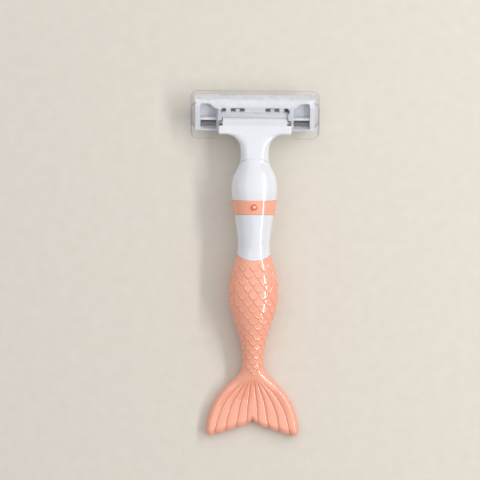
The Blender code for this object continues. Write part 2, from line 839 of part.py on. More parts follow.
def t_bar_outline():
    """The T-bar's section in Y and Z: a round underside, straight sides and a bevel in front."""
    start = (PIVOT_Y, PIVOT_Z)
    arc = [
        (start[0] - T_BAR_RADIUS * cos(turn), start[1] - T_BAR_RADIUS * sin(turn))
        for turn in (pi * n / 12 for n in range(13))
    ]
    top = start[1] + T_BAR_RISE
    return arc + [
        (start[0] + T_BAR_RADIUS, start[1] + T_BEVEL_START),
        (start[0] + T_BAR_RADIUS - T_BEVEL_RUN, top - T_BEVEL_DROP),
        (start[0] + T_BAR_RADIUS - T_BEVEL_RUN - T_BEVEL_DROP, top),
        (start[0] - T_BAR_RADIUS, top),
    ]


def make_head():
    """The white head: T-bar, wings, neck and the stem that the torso's halves hold."""
    wing_y = PIVOT_Y - WING_FAR
    wing_top = PIVOT_Z + WING_LOW + WING_THICKNESS
    neck_start = PIVOT_Y - mix(WING_NEAR, WING_FAR, 1 / 2)
    neck_length = neck_start - CREASE_Y

    def neck_half(y):
        return NECK_WIDTH / 2 * curve_value(NECK_SHARES, (neck_start - y) / neck_length)

    def neck_depth(y):
        share = smooth_step(0, 1 / 3, (neck_start - y) / neck_length)
        return mix(WING_THICKNESS / 2 - STACK_GAP, NECK_DEPTH / 2, share)

    rings = []
    neck_end = CREASE_Y + CREASE_DOME + FIT_GAP
    for step in range(HEAD_RINGS):
        y_at = level(mix(neck_start, neck_end, step / HEAD_RINGS))
        rings.append(section_ring(y_at, neck_half, neck_depth, HEAD_POINTS, NECK_POWER))
    wing_middle = PIVOT_Z + WING_LOW + WING_THICKNESS / 2
    for number, ring in enumerate(rings):
        lift = (wing_middle - NECK_Z) * (1 - smooth_step(0, 1 / 2, number / HEAD_RINGS))
        for point in ring:
            point.z += lift
    rings.append(section_ring(
        lambda across: crease(across) + SEAM_GAP, neck_half, neck_depth, HEAD_POINTS, NECK_POWER
    ))
    stem = oval(STEM_WIDTH, STEM_DEPTH)
    share = STEM_WIDTH / NECK_WIDTH
    rings.append(section_ring(lambda across: crease(across * share) + SEAM_GAP, *stem))
    rings.append(section_ring(level(CREASE_Y - STEM_LENGTH), *stem))
    head = part("t_head", loft(rings), WHITE_PLASTIC)
    wings = box(
        (-WING_LENGTH / 2, wing_y, PIVOT_Z + WING_LOW), (WING_LENGTH / 2, PIVOT_Y - WING_NEAR, wing_top)
    )
    bmesh.ops.bevel(
        wings, geom=list(wings.edges), offset=WING_BEVEL, segments=2, profile=1 / 2, affect="EDGES"
    )
    bar = prism(t_bar_outline(), -T_BAR_LENGTH / 2, T_BAR_LENGTH / 2)
    join(head, cutter("wings", wings), cutter("t_bar", bar))
    bore = rod(PIN_DIAMETER / 2 + FIT_GAP, -T_BAR_LENGTH, T_BAR_LENGTH, "X", (PIVOT_Y, PIVOT_Z))
    cut(head, cutter("pin_bore", bore))
    return head


# Cartridge, cover and pin, in a frame on the pivot that leans with the cartridge

FRAME = bpy.data.objects.new("pivot_frame", None)
FRAME.location = (0, PIVOT_Y, PIVOT_Z)
FRAME.rotation_euler = (CARTRIDGE_TILT, 0, 0)
PARTS.objects.link(FRAME)


def local(x, v, w):
    """A point of the cartridge, from its back's centre to the pivot's frame."""
    return (x, v - PIVOT_V, w - PIVOT_W)


def local_box(x, v, w):
    return box(local(x[0], v[0], w[0]), local(x[1], v[1], w[1]))


def add_local_box(bm, x, v, w):
    add_box(bm, local(x[0], v[0], w[0]), local(x[1], v[1], w[1]))


def mirrored_boxes(offset, width, v, w):
    """Two boxes alike on both sides of the middle."""
    bm = bmesh.new()
    for side in (-1, 1):
        add_local_box(bm, (side * offset - width / 2, side * offset + width / 2), v, w)
    return bm


HALF = CARTRIDGE_LENGTH / 2
EDGE = CARTRIDGE_HEIGHT / 2
SEAT_BLADE_W = -PLATFORM_THICKNESS - STACK_GAP
SPACER_W = SEAT_BLADE_W - BLADE_THICKNESS - STACK_GAP
CAP_BLADE_W = SPACER_W - SPACER_THICKNESS - STACK_GAP
CAP_W = CAP_BLADE_W - BLADE_THICKNESS - STACK_GAP
INSIDE_HALF = HALF - END_WALL_WIDTH - FIT_GAP


def make_housing():
    look = material("cartridge_white", WHITE, 0.3)
    base = local_box((-HALF, HALF), (-EDGE, EDGE), (-END_WALL_DEPTH, 0))
    bmesh.ops.bevel(
        base, geom=list(base.edges), offset=HOUSING_BEVEL, segments=2, profile=1 / 2, affect="EDGES"
    )
    housing = part("cartridge_housing", base, look, FRAME)
    inner = HALF - END_WALL_WIDTH
    well = local_box(
        (-inner, inner), (-EDGE + GUARD_BAR_HEIGHT, EDGE - SPINE_HEIGHT),
        (-END_WALL_DEPTH - OVERRUN, -PLATFORM_THICKNESS),
    )
    guard_trim = local_box(
        (-inner, inner), (-EDGE - OVERRUN, -EDGE + GUARD_BAR_HEIGHT + OVERRUN),
        (-END_WALL_DEPTH - OVERRUN, -GUARD_BAR_DEPTH),
    )
    cut(housing, cutter("blade_well", well, FRAME), cutter("guard_trim", guard_trim, FRAME))
    channel_half = CHANNEL_LENGTH / 2
    block_outer = channel_half + END_BLOCK_WIDTH
    rail = local_box((-channel_half - STACK_GAP, channel_half + STACK_GAP), (CHANNEL_HIGH - STACK_GAP, RAIL_HIGH),
                     (-WINDOW_DEPTH, RAIL_RISE))
    join(housing, cutter("upper_rail", rail, FRAME))
    for side in (-1, 1):
        near, far = sorted((side * channel_half, side * block_outer))
        block = local_box((near, far), (CHANNEL_LOW, END_BLOCK_HIGH), (-CHANNEL_DEPTH, END_BLOCK_RISE))
        name = "left" if side < 0 else "right"
        join(housing, cutter(f"{name}_end_block", block, FRAME))
    channel = local_box((-channel_half, channel_half), (CHANNEL_LOW, CHANNEL_HIGH), (-CHANNEL_DEPTH, OVERRUN))
    cut(housing, cutter("channel", channel, FRAME))
    slot_half = PIN_DIAMETER / 2 + FIT_GAP
    slot_outer = channel_half + PIN_SLOT_DEPTH
    open_slot = local_box(
        (-slot_outer, slot_outer), (PIVOT_V - slot_half, PIVOT_V + slot_half),
        (PIVOT_W, END_BLOCK_RISE + OVERRUN),
    )
    cut(housing, cutter("pin_slots", open_slot, FRAME))
    slot_end = rod(slot_half, -slot_outer, slot_outer, "X")
    cut(housing, cutter("pin_slot_ends", slot_end, FRAME))
    cut_windows(housing)
    cut_rinse_holes(housing)
    cut_recesses(housing)
    cut(housing, cutter("housing_rivet_seats", rivet_room(), FRAME))


def cut_windows(housing):
    tunnels = mirrored_boxes(
        WINDOW_OFFSET, WINDOW_WIDTH, (CHANNEL_HIGH - OVERRUN, WINDOW_HIGH), (-WINDOW_DEPTH, -TUNNEL_ROOF)
    )
    openings = mirrored_boxes(
        WINDOW_OFFSET, WINDOW_WIDTH, (RAIL_HIGH, WINDOW_HIGH), (-WINDOW_DEPTH + STACK_GAP, OVERRUN)
    )
    sides = mirrored_boxes(
        SIDE_WINDOW_OFFSET, SIDE_WINDOW_WIDTH, (RAIL_HIGH, WINDOW_HIGH), (-WINDOW_DEPTH / 2, OVERRUN)
    )
    cut(housing, cutter("finger_tunnels", tunnels, FRAME), cutter("windows", openings, FRAME))
    cut(housing, cutter("side_windows", sides, FRAME))


def cut_rinse_holes(housing):
    middle = (CHANNEL_LOW + CHANNEL_HIGH) / 2
    bm = bmesh.new()
    for group in range(RINSE_GROUPS):
        for hole in range(RINSE_PER_GROUP):
            x = (group - (RINSE_GROUPS - 1) / 2) * RINSE_GROUP_PITCH
            x += (hole - (RINSE_PER_GROUP - 1) / 2) * RINSE_PITCH
            add_local_box(
                bm, (x - RINSE_HOLE_WIDTH / 2, x + RINSE_HOLE_WIDTH / 2),
                (middle - RINSE_HOLE_HEIGHT / 2, middle + RINSE_HOLE_HEIGHT / 2),
                (-PLATFORM_THICKNESS - OVERRUN, -CHANNEL_DEPTH + OVERRUN),
            )
    cut(housing, cutter("rinse_holes", bm, FRAME))


def cut_recesses(housing):
    for side in (-1, 1):
        name = "left" if side < 0 else "right"
        outline = (
            (side * RECESS_INNER, RECESS_LOW),
            (side * RECESS_OUTER, RECESS_LOW),
            (side * RECESS_OUTER, RECESS_HIGH_OUTER),
            (side * mix(RECESS_INNER, RECESS_OUTER, RECESS_SLOPE_SHARE), RECESS_HIGH_OUTER),
            (side * RECESS_INNER, RECESS_HIGH_INNER),
        )
        flat = [(x, v - PIVOT_V) for x, v in outline]
        pocket = prism(flat, -RECESS_DEPTH - PIVOT_W, OVERRUN, "Z")
        near, far = sorted((side * RECESS_INNER, side * RECESS_OUTER))
        slot = local_box(
            (near + STACK_GAP, far - STACK_GAP), (RECESS_SLOT_LOW, RECESS_SLOT_LOW + RECESS_SLOT_HEIGHT),
            (-RECESS_DEPTH - RECESS_SLOT_DEPTH, OVERRUN),
        )
        cut(housing, cutter(f"{name}_recess", pocket, FRAME), cutter(f"{name}_recess_slot", slot, FRAME))


def add_rivet(bm, number, gap, seat):
    reach = INSIDE_HALF - RIVET_END_MARGIN
    x = mix(-reach, reach, number / (RIVETS - 1))
    _, v, low = local(0, RIVET_CENTRE, CAP_W - seat)
    high = local(0, 0, -PLATFORM_THICKNESS + seat)[2]
    add_rod(bm, RIVET_DIAMETER / 2 + gap, low, high, "Z", (x, v))


def rivet_room():
    """Room for the row of rivets, with the fitting gap round each."""
    bm = bmesh.new()
    for number in range(RIVETS):
        add_rivet(bm, number, FIT_GAP, RIVET_SEAT + FIT_GAP)
    return bm


def blade(name, height, back, look):
    """A steel strip whose lower edge is ground to a wedge."""
    low = BLADE_TOP - height
    front = back - BLADE_THICKNESS
    outline = ((BLADE_TOP, back), (low, back), (low + BLADE_EDGE_BEVEL, front), (BLADE_TOP, front))
    flat = [(v - PIVOT_V, w - PIVOT_W) for v, w in outline]
    return part(name, prism(flat, -INSIDE_HALF, INSIDE_HALF), look, FRAME)


def make_blade_stack():
    steel = material("blade_steel", STEEL, 0.25, 1)
    room = cutter("rivet_room", rivet_room(), FRAME)
    cut(blade("seat_blade", BLADE_HEIGHT, SEAT_BLADE_W, steel), room)
    cut(blade("cap_blade", BLADE_HEIGHT - BLADE_STAGGER, CAP_BLADE_W, steel), room)
    spacer = local_box(
        (-INSIDE_HALF, INSIDE_HALF), (BLADE_TOP - SPACER_HEIGHT, BLADE_TOP),
        (SPACER_W - SPACER_THICKNESS, SPACER_W),
    )
    cut(part("blade_spacer", spacer, material("spacer_plastic", RUBBER, 0.4), FRAME), room)
    cap_box = local_box(
        (-INSIDE_HALF, INSIDE_HALF), (BLADE_TOP - CAP_HEIGHT, BLADE_TOP), (CAP_W - CAP_THICKNESS, CAP_W)
    )
    bmesh.ops.bevel(
        cap_box, geom=list(cap_box.edges), offset=HOUSING_BEVEL, segments=2, profile=1 / 2, affect="EDGES"
    )
    cap = part("cartridge_cap", cap_box, material("cap_white", WHITE, 0.3), FRAME)
    cut(cap, room)
    strip_w = CAP_W - CAP_THICKNESS - STRIP_PROUD
    strip_middle = BLADE_TOP - CAP_HEIGHT / 2
    strip_v = (strip_middle - STRIP_HEIGHT / 2, strip_middle + STRIP_HEIGHT / 2)
    strip_half = INSIDE_HALF - STRIP_END_MARGIN
    bed = local_box(
        (-strip_half - STACK_GAP, strip_half + STACK_GAP), (strip_v[0] - STACK_GAP, strip_v[1] + STACK_GAP),
        (strip_w - OVERRUN, strip_w + STRIP_THICKNESS + STACK_GAP),
    )
    cut(cap, cutter("strip_bed", bed, FRAME))
    strip = local_box((-strip_half, strip_half), strip_v, (strip_w, strip_w + STRIP_THICKNESS))
    part("lubricating_strip", strip, material("lubricant", STRIP, 0.5), FRAME)
    for number in range(RIVETS):
        bm = bmesh.new()
        add_rivet(bm, number, 0, RIVET_SEAT)
        part(f"blade_rivet_{number + 1}", bm, steel, FRAME)


def make_guard():
    """The soft guard in front of the blades: a base with long low fins."""
    low = -EDGE + GUARD_BAR_HEIGHT + FIT_GAP
    high = BLADE_TOP - BLADE_HEIGHT - GUARD_BLADE_GAP
    back = -PLATFORM_THICKNESS - STACK_GAP
    floor = back - GUARD_BASE_DEPTH
    outline = [(low, back), (high, back)]
    for fin in reversed(range(GUARD_FINS)):
        start = mix(low, high - GUARD_FIN_HEIGHT, fin / (GUARD_FINS - 1))
        outline.append((start + GUARD_FIN_HEIGHT, floor))
        outline.append((start + GUARD_FIN_HEIGHT / 2, floor - GUARD_FIN_RISE))
        outline.append((start, floor))
    flat = [(v - PIVOT_V, w - PIVOT_W) for v, w in outline]
    part("guard_fins", prism(flat, -INSIDE_HALF, INSIDE_HALF), material("guard_rubber", RUBBER, 0.7), FRAME)


def make_cover():
    look = material("clear_plastic", CLEAR, 0.05, 0, 0.9)
    half = COVER_LENGTH / 2
    shell = local_box((-half, half), (-COVER_SKIRT, COVER_TOP), (-COVER_FACE_DEPTH, COVER_BACK_RISE))
    upright = [
        edge for edge in shell.edges
        if abs(edge.verts[0].co.z - edge.verts[1].co.z) > COVER_WALL
    ]
    bmesh.ops.bevel(shell, geom=upright, offset=COVER_CORNER, segments=5, profile=1 / 2, affect="EDGES")
    cover = part("blade_cover", shell, look, FRAME)
    inside = local_box(
        (-half + COVER_WALL, half - COVER_WALL), (-COVER_SKIRT - OVERRUN, COVER_TOP - COVER_WALL),
        (-COVER_FACE_DEPTH + COVER_WALL, COVER_BACK_RISE - COVER_WALL),
    )
    notch = local_box(
        (-COVER_NOTCH_HALF, COVER_NOTCH_HALF), (-COVER_SKIRT - OVERRUN, COVER_NOTCH_TOP),
        (0, COVER_BACK_RISE + OVERRUN),
    )
    cut(cover, cutter("cover_inside", inside, FRAME), cutter("cover_notch", notch, FRAME))


def make_pin():
    half = PIN_LENGTH / 2
    pin = rod(PIN_DIAMETER / 2, -half, half, "X")
    part("pivot_pin", pin, material("pin_steel", STEEL, 0.2, 1), FRAME)


def make_spring():
    """The return spring: a bar seated in the T-bar and two fingers under the upper rail."""
    bar_half = SPRING_BAR_LENGTH / 2
    v = (SPRING_BAR_V, SPRING_BAR_V + SPRING_BAR_HEIGHT)
    w = (SPRING_BAR_W, SPRING_BAR_W + SPRING_THICKNESS)
    spring = part(
        "return_spring", local_box((-bar_half, bar_half), v, w), material("spring_white", WHITE, 0.35), FRAME
    )
    for side in (-1, 1):
        middle = side * WINDOW_OFFSET
        root = SPRING_FINGER_WIDTH / 2
        tip = SPRING_TIP_WIDTH / 2
        outline = (
            (middle - root, v[0] - PIVOT_V + STACK_GAP),
            (middle + root, v[0] - PIVOT_V + STACK_GAP),
            (middle + root, RAIL_HIGH - PIVOT_V),
            (middle + tip, SPRING_TIP_V - PIVOT_V),
            (middle - tip, SPRING_TIP_V - PIVOT_V),
            (middle - root, RAIL_HIGH - PIVOT_V),
        )
        name = "left" if side < 0 else "right"
        finger = prism(outline, w[0] - PIVOT_W, w[1] - PIVOT_W, "Z")
        join(spring, cutter(f"{name}_finger", finger, FRAME))
    room = local_box(
        (-bar_half - STACK_GAP, bar_half + STACK_GAP), (v[0] - STACK_GAP, v[1] + OVERRUN),
        (w[0] - STACK_GAP, w[1] + STACK_GAP),
    )
    cut(bpy.data.objects["t_head"], cutter("spring_seat", room, FRAME))


make_handle()
make_pin()
make_housing()
make_blade_stack()
make_guard()
make_cover()
make_spring()
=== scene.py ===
"""Looks for the body razor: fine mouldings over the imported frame, materials, light and camera."""
from math import cos, pi, radians, sin

import bmesh
import bpy
import numpy as np
from mathutils import Matrix, Vector


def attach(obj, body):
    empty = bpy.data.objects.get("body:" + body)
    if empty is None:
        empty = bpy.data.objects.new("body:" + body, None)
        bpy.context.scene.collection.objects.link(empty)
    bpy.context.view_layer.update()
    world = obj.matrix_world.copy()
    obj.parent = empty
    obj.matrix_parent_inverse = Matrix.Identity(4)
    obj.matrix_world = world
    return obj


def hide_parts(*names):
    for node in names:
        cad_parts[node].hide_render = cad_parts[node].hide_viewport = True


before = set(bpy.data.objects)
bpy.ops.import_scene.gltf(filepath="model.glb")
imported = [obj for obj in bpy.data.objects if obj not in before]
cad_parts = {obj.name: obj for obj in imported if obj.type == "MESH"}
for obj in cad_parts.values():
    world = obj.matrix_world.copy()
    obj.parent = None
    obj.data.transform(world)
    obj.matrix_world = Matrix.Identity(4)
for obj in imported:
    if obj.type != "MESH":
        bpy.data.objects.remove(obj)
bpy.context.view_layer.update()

MM = 0.001

# Sizes shared with the part, in millimetres or shares of the grip
OVERALL_LENGTH = 122.1
SEAM_GAP = 0.12
CARTRIDGE_TILT = radians(30)
CARTRIDGE_HALF = 21.0
CARTRIDGE_EDGE = 5.7
END_WALL_DEPTH = 6.7
COVER_WALL = 0.8
COVER_HALF = 22.7
COVER_TOP = 6.74
COVER_SKIRT = 7.9
COVER_FACE_DEPTH = 7.74
COVER_BACK_RISE = 2.0
PIVOT_V = -1.98
PIVOT_W = 0.4
NECK_REACH = 14.1
NECK_RISE = 1.2
CREASE_DOME = 1.4
HIP_HALF = 8.45
BELLY_HALF = 6.5
BOUNDARY_AT_SHARE = 0.330
BOUNDARY_DIP = 2.7
BOUNDARY_POWER = 0.75
FIN_START_SHARE = 0.756
FIN_MIDDLE = 2.1
FIN_HALF = 16.45
FIN_RISE = 2.3
BELT_TOP_SHARE = 0.137
BELT_HEIGHT = 5.1
BELT_THICKNESS = 1.0
BELT_PROUD = 0.2

# Places worked out from them
TILT_SIN = sin(CARTRIDGE_TILT)
TILT_COS = cos(CARTRIDGE_TILT)
BACK_Y = OVERALL_LENGTH / 2 - (COVER_TOP * TILT_COS + COVER_FACE_DEPTH * TILT_SIN)
BACK_Z = COVER_SKIRT * TILT_SIN + COVER_FACE_DEPTH * TILT_COS
PIVOT_Y = BACK_Y + PIVOT_V * TILT_COS - PIVOT_W * TILT_SIN
PIVOT_Z = BACK_Z + PIVOT_V * TILT_SIN + PIVOT_W * TILT_COS
CREASE_Y = PIVOT_Y - NECK_REACH
NECK_Z = PIVOT_Z + NECK_RISE
GRIP_LENGTH = CREASE_Y + OVERALL_LENGTH / 2
BOUNDARY_Y = CREASE_Y - GRIP_LENGTH * BOUNDARY_AT_SHARE
FIN_START_Y = CREASE_Y - GRIP_LENGTH * FIN_START_SHARE
FIN_LENGTH = GRIP_LENGTH * (1 - FIN_START_SHARE)
BELT_TOP_Y = CREASE_Y - GRIP_LENGTH * BELT_TOP_SHARE
BELT_BOTTOM_Y = BELT_TOP_Y - BELT_HEIGHT
BELT_MIDDLE_Y = BELT_TOP_Y - BELT_HEIGHT / 2

# Half width as a share of the hips', along the grip from the neck's crease
WIDTH_SHARES = (
    (0.000, 0.615), (0.015, 0.692), (0.037, 0.823), (0.059, 0.912), (0.081, 0.950), (0.103, 0.958),
    (0.139, 0.915), (0.190, 0.824), (0.245, 0.727), (0.289, 0.671), (0.311, 0.671), (0.340, 0.717),
    (0.369, 0.806), (0.428, 0.958), (0.475, 1.000), (0.530, 0.929), (0.588, 0.733), (0.618, 0.629),
    (0.654, 0.517), (0.690, 0.448), (0.719, 0.437),
)

# Half width as a share of the fin's, along the fin
FIN_EDGE_SHARES = (
    (0.00, 0.259), (0.06, 0.304), (0.15, 0.418), (0.27, 0.590), (0.39, 0.735), (0.51, 0.842),
    (0.69, 0.942), (0.87, 0.993), (0.94, 0.990), (0.97, 0.978), (0.99, 0.950), (1.00, 0.905),
)

# Half depth as a share of the belly's, and the middle line's rise from fin to neck
DEPTH_SHARES = (
    (0.000, 0.50), (0.036, 0.78), (0.070, 0.94), (0.130, 1.00), (0.190, 0.92), (0.317, 0.77),
    (0.377, 0.84), (0.478, 0.92), (0.566, 0.85), (0.683, 0.61), (0.756, 0.48), (0.850, 0.34),
)
RISE_SHARES = (
    (0.00, 1.00), (0.15, 0.99), (0.35, 0.88), (0.50, 0.70), (0.65, 0.44), (0.75, 0.24),
    (0.85, 0.05), (0.92, 0.00), (1.00, 0.00),
)

# The fin's grooves from the outermost in: their common places along the fin, and each one's last two
# places and its path
GROOVE_PLACES = (0.00, 0.10, 0.19, 0.353, 0.523)
FIN_GROOVES = (
    ((0.72, 0.959), (0.070, 0.115, 0.213, 0.445, 0.616, 0.730, 0.813)),
    ((0.70, 0.914), (0.045, 0.075, 0.146, 0.302, 0.439, 0.524, 0.578)),
    ((0.70, 0.862), (0.030, 0.050, 0.095, 0.186, 0.260, 0.306, 0.349)),
    ((0.70, 0.814), (0.012, 0.020, 0.038, 0.066, 0.095, 0.112, 0.122)),
)
FIN_NOTCH = 0.750

# Gaps between the looks of neighbours, and how they round at their edges
LOOK_GAP = 0.03
TAIL_GAP = 0.02
EDGE_RADIUS = 0.08


def curve(table, at):
    """A smooth curve through a table's points, level past its ends."""
    xs, ys = np.array(table, dtype=float).T
    slopes = np.empty_like(ys)
    slopes[1:-1] = (ys[2:] - ys[:-2]) / (xs[2:] - xs[:-2])
    slopes[0] = (ys[1] - ys[0]) / (xs[1] - xs[0])
    slopes[-1] = (ys[-1] - ys[-2]) / (xs[-1] - xs[-2])
    at = np.clip(at, xs[0], xs[-1])
    i = np.clip(np.searchsorted(xs, at, side="right") - 1, 0, len(xs) - 2)
    span = xs[i + 1] - xs[i]
    t = (at - xs[i]) / span
    return (
        ys[i] * (1 + 2 * t) * (1 - t) ** 2 + slopes[i] * span * t * (1 - t) ** 2
        + ys[i + 1] * t * t * (3 - 2 * t) + slopes[i + 1] * span * t * t * (t - 1)
    )


def smooth_step(low, high, value):
    t = np.clip((value - low) / (high - low), 0, 1)
    return t * t * (3 - 2 * t)


def mix(first, second, share):
    return first + (second - first) * share


# Minus Y with the handle's half width there
EDGE_TABLE = (
    [(GRIP_LENGTH * at - CREASE_Y, HIP_HALF * share) for at, share in WIDTH_SHARES]
    + [(FIN_LENGTH * at - FIN_START_Y, FIN_HALF * share) for at, share in FIN_EDGE_SHARES]
)


def along(y):
    return (CREASE_Y - y) / GRIP_LENGTH


def half_width(y):
    return curve(EDGE_TABLE, -np.asarray(y, dtype=float))


def half_depth(y):
    return BELLY_HALF * curve(DEPTH_SHARES, along(y))


def middle_height(y):
    return mix(FIN_MIDDLE, NECK_Z, curve(RISE_SHARES, along(y)))


def crease(across):
    """The line between neck and torso, at shares of the half width."""
    return CREASE_Y + CREASE_DOME * (1 - across ** 2)


def boundary(across):
    """The line between torso and tail, at shares of the half width."""
    return BOUNDARY_Y - BOUNDARY_DIP * np.maximum(0, 1 - across ** 2) ** BOUNDARY_POWER


def half_turn(columns):
    """Across and up on a half circle from right to left."""
    angle = pi * np.arange(columns + 1) / columns
    return np.cos(angle), np.sin(angle)


def turns_to(angle, steps):
    """Evenly spaced turns from 0 to an angle."""
    return [angle * number / steps for number in range(steps + 1)]


def raised(y, across, up, offset, more_depth=0.0):
    """Points an offset out of the grip's surface: X, and height over the middle line."""
    width, depth = half_width(y), half_depth(y) + more_depth
    normal_x, normal_z = across / width, up / depth
    size = np.sqrt(normal_x ** 2 + normal_z ** 2)
    return width * across + offset * normal_x / size, depth * up + offset * normal_z / size


def shell_height(y, z, side):
    """Height of a half shell's point: side is 1 for the front, -1 for the back."""
    return middle_height(y) + side * (SEAM_GAP / 2 + z)


def edge_rounding(distance):
    """How far a surface falls back at a distance from its rounded edge."""
    turn = (1 - distance / EDGE_RADIUS).clip(0, 1)
    return EDGE_RADIUS * (1 - np.sqrt(np.clip(1 - turn ** 2, 0, 1)))


# Materials

# How a moulding's colour and gloss vary, its skin and its coat
DRIFT = (0.97, 1.02)
DRIFT_SCALE = 120
UNEVEN_GLOSS = (-0.04, 0.05)
GLOSS_SCALE = 350
SKIN_GRAIN = 900
SKIN_DEPTH = 0.00002
COAT_IOR = 1.7
COAT_ROUGHNESS = 0.03

# The slants between which a moulding takes on a painted side shade, and how much of it
SLANT_START = 0.22
SLANT_END = 0.75
SLANT_SHARE = 0.65

# Noise scales that draw steel's lines out along X, and how the lines change its gloss
STEEL_LINES = (60, 9000, 9000)
STEEL_GLOSS = (-0.06, 0.08)

# Clear plastic's gloss, how much its walls and its bends hide, and its waves
CLEAR_GLOSS = (0.01, 0.05)
CLEAR_ALPHA = (0.3, 0.95)
WAVE_SCALE = 90
WAVE_DEPTH = 0.00005


def node(tree, kind, **settings):
    made = tree.nodes.new(kind)
    for key, value in settings.items():
        setattr(made, key, value)
    return made


def set_inputs(made, values):
    for name, value in values.items():
        made.inputs[name].default_value = value


def socket(sockets, name, kind):
    return next(found for found in sockets if found.name == name and found.type == kind)


def new_material(name):
    """A material with its node tree, its shader and the object's coordinates."""
    made = bpy.data.materials.new(name)
    made.use_nodes = True
    tree = made.node_tree
    coords = node(tree, "ShaderNodeTexCoord").outputs["Object"]
    return made, tree, tree.nodes["Principled BSDF"], coords


def noise(tree, coords, scale, detail=3):
    made = node(tree, "ShaderNodeTexNoise")
    set_inputs(made, {"Scale": scale, "Detail": detail})
    tree.links.new(coords, made.inputs["Vector"])
    return made.outputs["Fac"]


def ranged(tree, value, low, high, start=0.3, end=0.7):
    made = node(tree, "ShaderNodeMapRange")
    set_inputs(made, {"From Min": start, "From Max": end, "To Min": low, "To Max": high})
    tree.links.new(value, made.inputs["Value"])
    return made.outputs["Result"]


def colour_mix(tree, factor, first, second):
    made = node(tree, "ShaderNodeMix", data_type="RGBA")
    for name, value in (("A", first), ("B", second)):
        end = socket(made.inputs, name, "RGBA")
        if isinstance(value, tuple):
            end.default_value = (*value, 1)
        else:
            tree.links.new(value, end)
    tree.links.new(factor, socket(made.inputs, "Factor", "VALUE"))
    return socket(made.outputs, "Result", "RGBA")


def add_bump(tree, shader, height, strength, distance):
    made = node(tree, "ShaderNodeBump")
    set_inputs(made, {"Strength": strength, "Distance": distance})
    tree.links.new(height, made.inputs["Height"])
    tree.links.new(made.outputs["Normal"], shader.inputs["Normal"])


def scaled(colour, factor):
    return tuple(min(1, channel * factor) for channel in colour)


def plastic(name, colour, roughness, coat=0.0, grain=SKIN_GRAIN, depth=SKIN_DEPTH, deep=None, slanted=None):
    """Moulded plastic with faint drift, uneven gloss and a fine skin. Deep is a painted shade colour where
    the attribute "hollow" is 1, slanted a painted shade colour seen from the side."""
    made, tree, shader, coords = new_material(name)
    drift = ranged(tree, noise(tree, coords, DRIFT_SCALE, 2), 0, 1)
    shade = colour_mix(tree, drift, scaled(colour, DRIFT[0]), scaled(colour, DRIFT[1]))
    if deep:
        hollow = node(tree, "ShaderNodeAttribute", attribute_name="hollow")
        shade = colour_mix(tree, hollow.outputs["Fac"], shade, deep)
    if slanted:
        slant = node(tree, "ShaderNodeLayerWeight")
        share = ranged(tree, slant.outputs["Facing"], 0, SLANT_SHARE, SLANT_START, SLANT_END)
        shade = colour_mix(tree, share, shade, slanted)
    tree.links.new(shade, shader.inputs["Base Color"])
    low, high = (roughness + change for change in UNEVEN_GLOSS)
    gloss = ranged(tree, noise(tree, coords, GLOSS_SCALE, 4), low, high)
    tree.links.new(gloss, shader.inputs["Roughness"])
    set_inputs(shader, {"Coat Weight": coat, "Coat Roughness": COAT_ROUGHNESS, "Coat IOR": COAT_IOR})
    add_bump(tree, shader, noise(tree, coords, grain, 2), 0.15, depth)
    return made


def steel(name, colour, roughness, scratches):
    """Ground steel with fine lines along X."""
    made, tree, shader, coords = new_material(name)
    stretch = node(tree, "ShaderNodeMapping")
    stretch.inputs["Scale"].default_value = STEEL_LINES
    tree.links.new(coords, stretch.inputs["Vector"])
    lines = noise(tree, stretch.outputs["Vector"], 1, 4)
    shade = colour_mix(tree, ranged(tree, lines, 0, 1), scaled(colour, 0.9), colour)
    tree.links.new(shade, shader.inputs["Base Color"])
    low, high = (roughness + change for change in STEEL_GLOSS)
    tree.links.new(ranged(tree, lines, low, high), shader.inputs["Roughness"])
    shader.inputs["Metallic"].default_value = 1
    add_bump(tree, shader, lines, 0.2, scratches)
    return made


def clear(name, tint, edge):
    """Clear plastic with faint waves, in the edge colour where the attribute "rounded" is 1, a painted tint
    for the light its bends reflect and refract.
    """
    made, tree, shader, coords = new_material(name)
    set_inputs(shader, {"Transmission Weight": 1, "IOR": 1.05, "Coat Weight": 1, "Coat IOR": 1.5})
    tree.links.new(ranged(tree, noise(tree, coords, 200, 2), *CLEAR_GLOSS), shader.inputs["Roughness"])
    turn = node(tree, "ShaderNodeAttribute", attribute_name="rounded").outputs["Fac"]
    tree.links.new(ranged(tree, turn, *CLEAR_ALPHA), shader.inputs["Alpha"])
    tree.links.new(colour_mix(tree, turn, tint, edge), shader.inputs["Base Color"])
    add_bump(tree, shader, noise(tree, coords, WAVE_SCALE, 1), 0.1, WAVE_DEPTH)
    return made


WHITE = (0.80, 0.81, 0.845)
CORAL = (1.0, 0.425, 0.28)
# A deeper coral, painted shade for the grooves and for surfaces seen from the side
PAINTED_SHADE_CORAL = (0.94, 0.27, 0.15)
WHITE_PLASTIC = plastic("white_moulding", WHITE, 0.3, coat=1.0)
TAIL_CORAL = plastic("coral_moulding", CORAL, 0.3, coat=0.85, deep=PAINTED_SHADE_CORAL, slanted=PAINTED_SHADE_CORAL)
BELT_CORAL = plastic("coral_band", CORAL, 0.3, coat=0.85, slanted=PAINTED_SHADE_CORAL)
# The cartridge's white, greyer than the cap's, with the shade of its back plate painted in
SHADED_CARTRIDGE_WHITE = plastic("cartridge_moulding", (0.62, 0.63, 0.665), 0.28, coat=0.5)
CAP_WHITE = plastic("cap_moulding", (0.81, 0.82, 0.85), 0.35, coat=0.5)
SPRING_WHITE = plastic("spring_moulding", (0.83, 0.84, 0.88), 0.32)
ORANGE = plastic("orange_enamel_look", (1.0, 0.135, 0.008), 0.3, coat=0.3)
PALE = plastic("pale_bead_look", (0.97, 0.78, 0.70), 0.12, coat=0.8)
RUBBER = plastic("guard_rubber_look", (0.42, 0.44, 0.47), 0.6, grain=1600, depth=0.00004)
